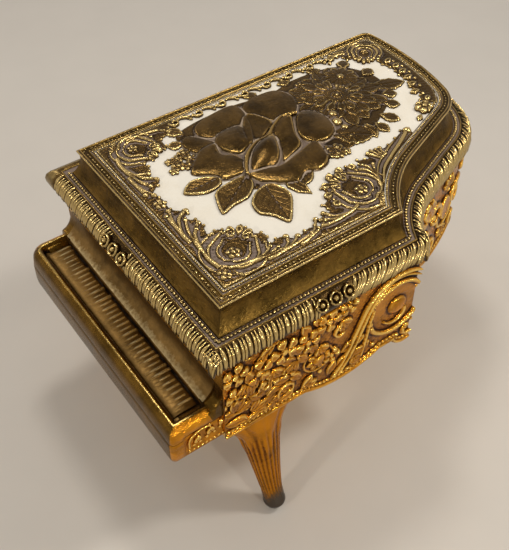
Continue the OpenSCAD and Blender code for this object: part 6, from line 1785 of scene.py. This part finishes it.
def build_velvet_walls(finish):
    """The lining of the three walls, rolled over at its top."""
    low, high = box_mm("velvet_walls")
    low, high = low - [*ORIGIN[:2], 0], high - [*ORIGIN[:2], 0]
    inset, front, back = low[0], low[1], high[1]
    thick = 1.2

    def path(d):
        extra = d - inset
        r = 0.6
        ys = np.linspace(back, front + extra + r, 46)
        right = side_limit(d, ys)
        turns = [np.radians(np.linspace(0, -90, 5)), np.radians(np.linspace(-90, -180, 5))]
        corner_r = np.column_stack([RIM_W - d - r + r * np.cos(turns[0]), front + extra + r + r * np.sin(turns[0])])
        corner_l = np.column_stack([d + r + r * np.cos(turns[1]), front + extra + r + r * np.sin(turns[1])])
        across = line((RIM_W - d - r, front + extra), (d + r, front + extra), 60)[1:]
        left = np.column_stack([np.full(46, d), np.linspace(front + extra + r, back, 46)])
        return np.concatenate([np.column_stack([right, ys]), corner_r, across, corner_l, left])

    section = [(0.0, low[2]), (0.0, high[2] - 0.35), (0.2, high[2] - 0.08), (0.6, high[2]), (1.0, high[2] - 0.12),
               (thick, high[2] - 0.5), (thick, high[2] - 1.2), (thick, (low[2] + high[2]) / 2), (thick, low[2] + 1.0),
               (thick, low[2])]
    rows = []
    for k, (off, z) in enumerate(section):
        ring = path(inset + off)
        s = lengths(ring, closed=False)
        pucker = 0.10 * np.sin(s * 0.42 + 0.8 * np.sin(s * 0.11)) * (1.0 if 5 <= k <= 8 else 0.0)
        inward = path(inset + off - 0.01) - ring
        inward /= np.maximum(np.linalg.norm(inward, axis=1), 1e-9)[:, None]
        rows.append(at_height(ring + inward * (pucker + 0.1 * (5 <= k <= 8))[:, None] * 0.8, z))
    n = len(rows[0])
    faces = [tuple(f) for f in ring_faces(len(rows), n, closed_rows=True, closed_across=False)]
    faces.append(tuple(i * n for i in range(len(rows))))
    faces.append(tuple(i * n + n - 1 for i in range(len(rows) - 1, -1, -1)))
    shade = np.concatenate([np.full(n, 0.2 if 2 <= k <= 6 else 0.8) for k in range(len(rows))])
    piece = make_piece("wall_lining", np.concatenate(rows), faces, finish, "case", 35.0, {"depth": shade},
                       turn_out=True)
    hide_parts("velvet_walls")


def build_partition(finish):
    """The velvet-covered card that parts the compartment from the movement."""
    low, high = box_mm("partition")
    low, high = low - [*ORIGIN[:2], 0], high - [*ORIGIN[:2], 0]
    inset = low[0]
    profile = [(0.0, low[2]), (0.0, high[2] - 0.6), (0.15, high[2] - 0.2), (0.5, high[2] - 0.02), (1.0, high[2]),
               (1.5, high[2] - 0.02), (1.85, high[2] - 0.2), (2.0, high[2] - 0.6), (2.0, low[2])]
    ts = np.linspace(0, 1, 90)
    rows = []
    for t in ts:
        for k, (off, z) in enumerate(profile):
            y = low[1] + off * (high[1] - low[1]) / 2.0
            right = float(side_limit(inset, y))
            wave = 0.05 * math.sin(t * 17 + z * 0.1) if 0 < k < 8 else 0.0
            rows.append((inset + t * (right - inset), np.clip(y + wave, low[1], high[1]), z))
    n = len(profile)
    faces = [tuple(f) for f in ring_faces(len(ts), n)]
    faces.append(tuple(range(n - 1, -1, -1)))
    faces.append(tuple(range((len(ts) - 1) * n, len(ts) * n)))
    shade = np.tile([0.9, 0.3, 0.1, 0.0, 0.0, 0.0, 0.1, 0.3, 0.9], len(ts))
    piece = make_piece("partition_card", rows, faces, finish, "case", 40.0, {"depth": shade},
                       turn_out=True)
    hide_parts("partition")


def build_lid_lining(finish):
    """The velvet under the lid's top plate, soft at its edge."""
    low, high = box_mm("lid_lining")
    inset = low[0] - RIM_LOW[0]
    section = [(0.0, high[2]), (0.0, low[2] + 0.7), (0.1, low[2] + 0.35), (0.4, low[2] + 0.12), (0.9, low[2] + 0.02),
               (1.8, low[2]), (4.0, low[2] + 0.03), (8.5, low[2] + 0.06)]
    rows = [at_height(outline(inset + off, 1.0, 1.6), z) for off, z in section]
    points, faces = loft(rows)
    shade = np.concatenate([np.full(len(rows[0]), s) for s in (0.9, 0.7, 0.3, 0.1, 0.0, 0.0, 0.2, 0.3)])
    piece = make_piece("lid_velvet", points, faces, finish, "lid", 35.0, {"depth": shade}, turn_out=True)
    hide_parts("lid_lining")


# ---- The movement ----
def build_drum_pins(finish):
    """The pins that pluck the comb: tiny studs in eighteen tracks round the drum."""
    low, high = box_mm("drum")
    low, high = low - [*ORIGIN[:2], 0], high - [*ORIGIN[:2], 0]
    centre_y, centre_z = (low[1] + high[1]) / 2, (low[2] + high[2]) / 2
    r = (high[2] - low[2]) / 2 - 0.10
    dice = np.random.default_rng(18)
    paths = []
    for track in range(18):
        x = low[0] + 1.2 + (high[0] - low[0] - 2.4) * track / 17
        for start in np.sort(dice.uniform(0, 360, 11)):
            a = np.radians([start, start + 3.0])
            paths.append((np.column_stack([np.full(2, x), centre_y + r * np.cos(a), centre_z + r * np.sin(a)]), False))
    points, faces, depth = bead(0.16, 3, 6, -0.9)
    stand_row("drum_pins", paths, points, faces, depth, 1.0, finish, "cylinder", 0.05, 5, 60.0)


def dress_movement():
    dress("movement_brass", "bed_plate", "great_wheel", "drum", "drum_pinion", "drum_gear", "comb_block",
          "relay_wheel", "governor_worm", "winding_key")
    dress("turned_steel", "movement_screws", "spring_barrel", "winding_arbor", "drum_shaft", "drum_brackets",
          "comb_screws", "governor_frame", "stop_plunger", "bottom_plate_screws", "leg_screws")
    dress("blued_steel", "mainspring", "comb")
    dress("clear_sheet", "movement_cover")


# ---- Finishes ----
def look():
    return bpy.context.scene.piano_box_look


# Cast gilts: crest (rubbed, with painted highlight), open face, hollow and grime (patina and dirt with painted shade),
# then roughness, the crests' roughness, how much wax and its colour, patina, the depth where rubbing and painted
# highlight end, and unevenness. A name stands for the user's colour of that name.
GILTS = {
    "rubbed_gilt": (("antique", "antique_face", "antique_hollow", (0.07, 0.05, 0.025)),
                    0.24, 0.18, 0.62, "wax", 0.75, 0.36, 0.16),
    "petal_gilt": (((0.66, 0.54, 0.31), (0.34, 0.26, 0.135), "antique_hollow", (0.08, 0.055, 0.025)),
                   0.16, 0.14, 0.9, (0.64, 0.56, 0.47), 1.3, 0.30, 0.14),
    "satin_gilt": (("antique", (0.45, 0.35, 0.16), "antique_hollow", (0.08, 0.06, 0.03)),
                   0.30, 0.20, 0.95, "wax", 1.3, 0.30, 0.2),
    "bright_gilt": (((1.0, 0.82, 0.42), "gilt", "gilt_hollow", (0.15, 0.08, 0.02)),
                    0.12, 0.08, 0.0, (0.55, 0.47, 0.40), 0.9, 0.34, 0.26),
    "rail_gilt": (((0.88, 0.76, 0.46), (0.42, 0.31, 0.12), (0.24, 0.16, 0.05), (0.09, 0.06, 0.02)),
                  0.27, 0.18, 0.35, "wax", 0.9, 0.30, 0.11),
    "key_gilt": (((0.90, 0.83, 0.64), (0.50, 0.39, 0.22), (0.27, 0.20, 0.10), (0.13, 0.09, 0.05)),
                 0.38, 0.26, 0.45, "wax", 0.9, 0.36, 0.11),
    "hinge_brass": (((0.80, 0.64, 0.33), (0.55, 0.42, 0.18), (0.42, 0.29, 0.11), (0.15, 0.10, 0.04)),
                    0.30, 0.24, 0.0, (0.55, 0.47, 0.40), 0.5, 0.42, 0.11),
}
# Turned or drawn metals: bright and dull colour, roughness, grain in millimetres and its stretch
METALS = {
    "turned_steel": ((0.78, 0.78, 0.77), (0.52, 0.52, 0.51), 0.28, 0.3, (1.0, 1.0, 6.0)),
    "movement_brass": ((0.86, 0.70, 0.38), (0.60, 0.44, 0.20), 0.30, 0.35, (1.0, 5.0, 1.0)),
    "blued_steel": ((0.30, 0.33, 0.42), (0.16, 0.17, 0.22), 0.30, 0.3, (1.0, 1.0, 1.0)),
}


def tone(value):
    """A colour, or the user's colour of that name."""
    return tuple(getattr(look(), value)) if isinstance(value, str) else value


def leg_gilt():
    """The legs' gilt, rubbed through to dark metal at the foot."""
    c = look()
    finish = Finish("leg_gilt", rgb(tuple(c.gilt)), 1.0, 0.3)
    depth = finish.shade("depth")
    wear = finish.shade("wear")
    blotch = finish.noise(5.0, 3.0)
    speck = finish.noise(0.8, 3.0)
    # flutes and other recesses turn dark brown: patina with painted shade
    sunk_patina_and_shade = (depth * 1.2 + (speck - 0.5) * 0.4).between(0.45, 1.0)
    gold = finish.mix(sunk_patina_and_shade, rgb((0.82, 0.54, 0.12)), rgb((0.42, 0.23, 0.05)))
    bare = (wear * 1.2 + (blotch - 0.5) * 0.5 + (speck - 0.5) * 0.35).between(0.55, 1.0)
    dim = finish.mix(((blotch - 0.5) * 2.0 + wear * 0.6).clamped(), gold, rgb((0.50, 0.36, 0.12)))
    finish.link("Base Color", finish.mix(bare, dim, rgb((0.34, 0.31, 0.28))))
    finish.link("Roughness", (0.15 + bare * 0.18 + sunk_patina_and_shade * 0.12 + (speck - 0.5) * 0.12).clamped())
    finish.bump(speck + blotch, 0.10, 0.8)
    return finish.material


def cream_enamel():
    finish = Finish("cream_enamel", rgb(tuple(look().enamel)), 0.0, 0.28, Coat_Weight=0.35, Coat_Roughness=0.12)
    stain = finish.noise(14.0, 3.0)
    speck = finish.noise(0.7, 2.0)
    cream = tuple(look().enamel)
    dull = tuple(c * f for c, f in zip(cream, (0.93, 0.90, 0.84)))
    factor = ((stain - 0.45) * 1.6 + (speck - 0.6) * 0.6).clamped()
    finish.link("Base Color", finish.mix(factor, rgb(cream), rgb(dull)))
    finish.link("Roughness", (0.24 + (stain - 0.5) * 0.25 + (speck - 0.5) * 0.1).clamped())
    finish.bump(stain + speck * 0.1, 0.05, 0.3)
    return finish.material


def velvet_pile():
    red = tuple(look().velvet)
    finish = Finish("velvet_pile", rgb(red), 0.0, 0.85, Sheen_Weight=0.8, Sheen_Roughness=0.35)
    finish.set("Sheen Tint", (*rgb(tuple(min(1, c * 1.6 + 0.1) for c in red)), 1))
    nap = finish.noise(6.0, 3.0)
    pile = finish.noise(0.35, 2.0, 0.7)
    dark = tuple(c * 0.55 for c in red)
    factor = ((nap - 0.5) * 1.8 + (pile - 0.5) * 1.1 + 0.5).clamped()
    finish.link("Base Color", finish.mix(factor, rgb(dark), rgb(red)))
    finish.link("Roughness", (0.78 + (pile - 0.5) * 0.3).clamped())
    finish.bump(pile, 0.18, 0.7)
    return finish.material


def plain_metal(name, bright, dull, roughness, grain_mm, stretch):
    """Turned or drawn metal with fine machining marks and a little tarnish."""
    finish = Finish(name, rgb(bright), 1.0, roughness)
    marks = finish.noise(grain_mm, 2.0, 0.6, stretch)
    blotch = finish.noise(4.0, 3.0)
    factor = ((blotch - 0.45) * 1.5 + (marks - 0.5) * 0.5).clamped()
    finish.link("Base Color", finish.mix(factor, rgb(bright), rgb(dull)))
    finish.link("Roughness", (roughness + (marks - 0.5) * 0.25 + (blotch - 0.5) * 0.15).clamped())
    finish.bump(marks, 0.02, 0.4)
    return finish.material


def clear_sheet():
    finish = Finish("clear_sheet", (0.9, 0.92, 0.93), 0.0, 0.06, Transmission_Weight=1.0, IOR=1.49)
    haze = finish.noise(5.0, 2.0)
    finish.link("Roughness", (0.03 + haze * 0.08).clamped())
    return finish.material


MAKERS = {"leg_gilt": leg_gilt, "cream_enamel": cream_enamel, "velvet_pile": velvet_pile, "clear_sheet": clear_sheet}


def finish_of(name):
    """The finish of that name, which is made when it is first asked for."""
    made = bpy.data.materials.get(name)
    if made:
        return made
    if name in GILTS:
        tones, rough, crest_rough, wax_amount, wax, *rest = GILTS[name]
        return gilt_finish(name, [tone(t) for t in tones], rough, crest_rough, wax_amount, tone(wax), *rest)
    if name in METALS:
        return plain_metal(name, *METALS[name])
    return MAKERS[name]()


def dress(finish, *nodes):
    """Gives CAD nodes a finish."""
    for node in nodes:
        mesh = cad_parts[node].data
        mesh.materials.clear()
        mesh.materials.append(finish_of(finish))


# ---- Stage ----
# The camera's place over the rim's frame, its three axes and its focal length in image heights
EYE = (224.50, -73.25, 274.47)
EYE_RIGHT = (0.57857819, 0.81561329, -0.00471549)
EYE_DOWN = (0.59048179, -0.4228491, -0.6874081)
EYE_AHEAD = (-0.56265312, 0.39493492, -0.72625606)
FOCAL_PIXELS = 889.64
IMAGE_TALL = 550.0
SENSOR = 36.0


def build_camera():
    lens = bpy.data.cameras.new("photographer")
    lens.sensor_fit = "VERTICAL"
    lens.sensor_height = SENSOR
    lens.sensor_width = SENSOR
    lens.lens = FOCAL_PIXELS * SENSOR / IMAGE_TALL
    lens.clip_start = 0.01
    camera = bpy.data.objects.new("photographer", lens)
    bpy.context.scene.collection.objects.link(camera)
    turn = Matrix((EYE_RIGHT, tuple(-c for c in EYE_DOWN), tuple(-c for c in EYE_AHEAD))).transposed().to_4x4()
    camera.matrix_world = Matrix.Translation(Vector(to_frame([EYE])[0])) @ turn
    bpy.context.scene.camera = camera


def build_floor():
    reach = 3.0
    mesh = bpy.data.meshes.new("floor")
    mesh.from_pydata([(-reach, -reach, 0), (reach, -reach, 0), (reach, reach, 0), (-reach, reach, 0)], [],
                     [(0, 1, 2, 3)])
    floor = bpy.data.objects.new("floor", mesh)
    bpy.context.scene.collection.objects.link(floor)
    finish = Finish("pale_floor", rgb(tuple(look().floor)), 0.0, 0.7, Specular_IOR_Level=0.2)
    grain = finish.noise(30.0, 3.0)
    pale = tuple(look().floor)
    dull = tuple(c * 0.97 for c in pale)
    finish.link("Base Color", finish.mix(grain, rgb(pale), rgb(dull)))
    mesh.materials.append(finish.material)


def build_world():
    """Soft fill light, and the same pale background for the camera, for mirrors and through clear sheet."""
    world = bpy.data.worlds.new("studio")
    bpy.context.scene.world = world
    world.use_nodes = True
    nodes, links = world.node_tree.nodes, world.node_tree.links
    nodes.clear()
    rays = nodes.new("ShaderNodeLightPath")
    seen = nodes.new("ShaderNodeMath")
    also = nodes.new("ShaderNodeMath")
    seen.operation = also.operation = "MAXIMUM"
    links.new(rays.outputs["Is Glossy Ray"], seen.inputs[0])
    links.new(rays.outputs["Is Transmission Ray"], seen.inputs[1])
    links.new(seen.outputs[0], also.inputs[0])
    links.new(rays.outputs["Is Camera Ray"], also.inputs[1])
    place = nodes.new("ShaderNodeTexCoord")
    split = nodes.new("ShaderNodeSeparateXYZ")
    rise = nodes.new("ShaderNodeMapRange")
    sky = nodes.new("ShaderNodeMix")
    sky.data_type = "RGBA"
    slots = [s for s in sky.inputs if s.enabled]
    links.new(place.outputs["Generated"], split.inputs[0])
    links.new(split.outputs["Z"], rise.inputs["Value"])
    rise.inputs["From Min"].default_value = 0.0
    rise.inputs["From Max"].default_value = 0.9
    links.new(rise.outputs[0], slots[0])
    slots[1].default_value = (*rgb(tuple(look().horizon)), 1)
    slots[2].default_value = (*rgb(tuple(look().zenith)), 1)
    shown = nodes.new("ShaderNodeBackground")
    links.new(next(s for s in sky.outputs if s.enabled), shown.inputs["Color"])
    shown.inputs["Strength"].default_value = 1.0
    fill = nodes.new("ShaderNodeBackground")
    fill.inputs["Color"].default_value = (1.0, 0.97, 0.93, 1)
    fill.inputs["Strength"].default_value = look().fill_level
    choice = nodes.new("ShaderNodeMixShader")
    out = nodes.new("ShaderNodeOutputWorld")
    links.new(also.outputs[0], choice.inputs[0])
    links.new(fill.outputs[0], choice.inputs[1])
    links.new(shown.outputs[0], choice.inputs[2])
    links.new(choice.outputs[0], out.inputs["Surface"])


def build_lamps():
    """Five soft lamps: the main one high on the treble side, so that shadows fall towards the bass corner."""
    lamps = (
        ("main_panel", (230, 340, 470), (50, 60, 70), 80, 0.85, (1.0, 0.97, 0.92)),
        ("top_panel", (-100, 110, 500), (50, 60, 70), 85, 0.58, (1.0, 0.97, 0.92)),
        ("left_panel", (-330, -60, 330), (50, 60, 70), 50, 0.14, (1.0, 0.94, 0.86)),
        ("right_panel", (430, 20, 170), (50, 60, 60), 28, 0.26, (1.0, 0.93, 0.82)),
        ("front_panel", (150, -400, 260), (50, 40, 60), 34, 0.36, (1.0, 0.95, 0.88)),
    )
    for name, at, aim, size, watts, colour in lamps:
        light = bpy.data.lights.new(name, "AREA")
        light.energy = watts
        light.size = size * MM
        light.color = colour
        lamp = bpy.data.objects.new(name, light)
        bpy.context.scene.collection.objects.link(lamp)
        place = Vector(to_frame([at])[0])
        towards = Vector(to_frame([aim])[0]) - place
        lamp.location = place
        lamp.rotation_euler = towards.to_track_quat("-Z", "Y").to_euler()


# ---- The add-on ----
class PIANO_PG_look(bpy.types.PropertyGroup):
    """Sizes and colours that a user may change before building."""

    gadroon_pitch: bpy.props.FloatProperty(name="Gadroon pitch", description="Spacing of the gadroon groups in mm",
                                           default=3.8, min=3.4, max=6.0)
    relief_step: bpy.props.FloatProperty(name="Relief step", description="Grid step of the castings in millimetres",
                                         default=0.24, min=0.15, max=0.6)
    gilt: bpy.props.FloatVectorProperty(name="Gilt", description="Polished gilt of the case", subtype="COLOR_GAMMA",
                                        default=(0.76, 0.51, 0.13), min=0, max=1)
    gilt_hollow: bpy.props.FloatVectorProperty(name="Gilt hollows", description="Brown in the case's hollows",
                                               subtype="COLOR_GAMMA", default=(0.40, 0.22, 0.05), min=0, max=1)
    antique: bpy.props.FloatVectorProperty(name="Antique gilt", description="Rubbed gilt of the lid",
                                           subtype="COLOR_GAMMA", default=(0.78, 0.68, 0.45), min=0, max=1)
    antique_face: bpy.props.FloatVectorProperty(name="Antique faces", description="Open faces of the lid's castings",
                                                subtype="COLOR_GAMMA", default=(0.34, 0.26, 0.135), min=0, max=1)
    antique_hollow: bpy.props.FloatVectorProperty(name="Antique hollows", description="Olive brown of the lid",
                                                  subtype="COLOR_GAMMA", default=(0.17, 0.12, 0.06), min=0, max=1)
    wax: bpy.props.FloatVectorProperty(name="Wax", description="Pale wax left in the deepest hollows",
                                       subtype="COLOR_GAMMA", default=(0.56, 0.48, 0.42), min=0, max=1)
    enamel: bpy.props.FloatVectorProperty(name="Enamel", description="Cream enamel of the top", subtype="COLOR_GAMMA",
                                          default=(0.95, 0.92, 0.86), min=0, max=1)
    velvet: bpy.props.FloatVectorProperty(name="Velvet", description="Lining of the compartment",
                                          subtype="COLOR_GAMMA", default=(0.48, 0.07, 0.13), min=0, max=1)
    floor: bpy.props.FloatVectorProperty(name="Floor", description="Pale studio floor", subtype="COLOR_GAMMA",
                                         default=(0.86, 0.83, 0.79), min=0, max=1)
    fill_level: bpy.props.FloatProperty(name="Fill", description="Strength of the soft fill light", default=0.36,
                                        min=0, max=2)
    horizon: bpy.props.FloatVectorProperty(name="Horizon", description="Pale backdrop low down", subtype="COLOR_GAMMA",
                                           default=(0.90, 0.87, 0.83), min=0, max=1)
    zenith: bpy.props.FloatVectorProperty(name="Zenith", description="Backdrop overhead", subtype="COLOR_GAMMA",
                                          default=(0.74, 0.71, 0.67), min=0, max=1)
    key_pitch: bpy.props.FloatProperty(name="Key pitch", description="Spacing of the keys in millimetres", default=2.1,
                                       min=1.5, max=3.0)


class PIANO_OT_stage(bpy.types.Operator):
    """Sets up the camera, the floor and the studio light"""

    bl_idname = "piano_box.stage"
    bl_label = "Stage"

    def execute(self, context):
        context.scene.view_settings.view_transform = "Standard"
        build_camera()
        build_floor()
        build_world()
        build_lamps()
        return {"FINISHED"}


class PIANO_OT_lid(bpy.types.Operator):
    """Makes the lid's casting with its gadroons and beads"""

    bl_idname = "piano_box.lid"
    bl_label = "Lid casting"

    def execute(self, context):
        build_lid_shell(finish_of("satin_gilt"))
        build_rim_strip(finish_of("rubbed_gilt"))
        build_gadroons(finish_of("rubbed_gilt"), look().gadroon_pitch)
        build_beads(finish_of("rubbed_gilt"))
        build_border_motifs(finish_of("rubbed_gilt"))
        build_rim_rosettes(finish_of("rubbed_gilt"))
        dress("cream_enamel", "lid_enamel")
        return {"FINISHED"}


class PIANO_OT_flowers(bpy.types.Operator):
    """Makes the rose, the daisy and their leaves on the enamel"""

    bl_idname = "piano_box.flowers"
    bl_label = "Flower castings"

    def execute(self, context):
        build_flowers(finish_of("rubbed_gilt"), finish_of("petal_gilt"), look().relief_step)
        return {"FINISHED"}


class PIANO_OT_scrolls(bpy.types.Operator):
    """Makes the scrolls and shields round the enamel"""

    bl_idname = "piano_box.scrolls"
    bl_label = "Scroll casting"

    def execute(self, context):
        build_scrolls(finish_of("rubbed_gilt"), look().relief_step)
        return {"FINISHED"}


class PIANO_OT_walls(bpy.types.Operator):
    """Makes the relief castings over the case's walls"""

    bl_idname = "piano_box.walls"
    bl_label = "Case walls"

    def execute(self, context):
        build_walls(finish_of("bright_gilt"))
        dress("bright_gilt", "case_shell", "bottom_plate")
        return {"FINISHED"}


class PIANO_OT_key_bed(bpy.types.Operator):
    """Makes the key bed with its rail, ledge, cheeks and keys"""

    bl_idname = "piano_box.key_bed"
    bl_label = "Key bed and keys"

    def execute(self, context):
        build_key_rail(finish_of("rail_gilt"), finish_of("bright_gilt"))
        build_key_tray(finish_of("key_gilt"))
        build_cheeks(finish_of("rail_gilt"))
        build_keys(finish_of("key_gilt"), look().key_pitch)
        build_bed_ornament(finish_of("bright_gilt"))
        return {"FINISHED"}


class PIANO_OT_legs(bpy.types.Operator):
    """Makes the three fluted legs"""

    bl_idname = "piano_box.legs"
    bl_label = "Legs"

    def execute(self, context):
        build_legs(finish_of("leg_gilt"))
        return {"FINISHED"}


class PIANO_OT_lining(bpy.types.Operator):
    """Makes the velvet floor, wall lining, partition and lid lining"""

    bl_idname = "piano_box.lining"
    bl_label = "Velvet lining"

    def execute(self, context):
        velvet = finish_of("velvet_pile")
        build_velvet_floor(velvet)
        build_velvet_walls(velvet)
        build_partition(velvet)
        build_lid_lining(velvet)
        return {"FINISHED"}


class PIANO_OT_movement(bpy.types.Operator):
    """Gives the comb movement and the hinges their metals, and the drum its pins"""

    bl_idname = "piano_box.movement"
    bl_label = "Movement and hinges"

    def execute(self, context):
        dress_movement()
        build_drum_pins(finish_of("turned_steel"))
        dress("hinge_brass", "case_hinge_leaves", "lid_hinge_leaves", "hinge_pins")
        return {"FINISHED"}


OPERATORS = (PIANO_OT_stage, PIANO_OT_lid, PIANO_OT_flowers, PIANO_OT_scrolls, PIANO_OT_walls, PIANO_OT_key_bed,
             PIANO_OT_legs, PIANO_OT_lining, PIANO_OT_movement)


class PIANO_PT_panel(bpy.types.Panel):
    """Lists the steps that build the piano trinket box"""

    bl_idname = "PIANO_PT_panel"
    bl_label = "Piano trinket box"
    bl_space_type = "VIEW_3D"
    bl_region_type = "UI"
    bl_category = "Piano box"

    def draw(self, context):
        settings = context.scene.piano_box_look
        for name in settings.bl_rna.properties.keys():
            if name not in ("rna_type", "name"):
                self.layout.prop(settings, name)
        for step in OPERATORS:
            self.layout.operator(step.bl_idname)


CLASSES = (PIANO_PG_look, *OPERATORS, PIANO_PT_panel)


def register():
    for kind in CLASSES:
        bpy.utils.register_class(kind)
    bpy.types.Scene.piano_box_look = bpy.props.PointerProperty(type=PIANO_PG_look)


def unregister():
    del bpy.types.Scene.piano_box_look
    for kind in reversed(CLASSES):
        bpy.utils.unregister_class(kind)


def main():
    register()
    for step in OPERATORS:
        getattr(bpy.ops.piano_box, step.bl_idname.split(".")[1])()


if __name__ == "__main__":
    main()
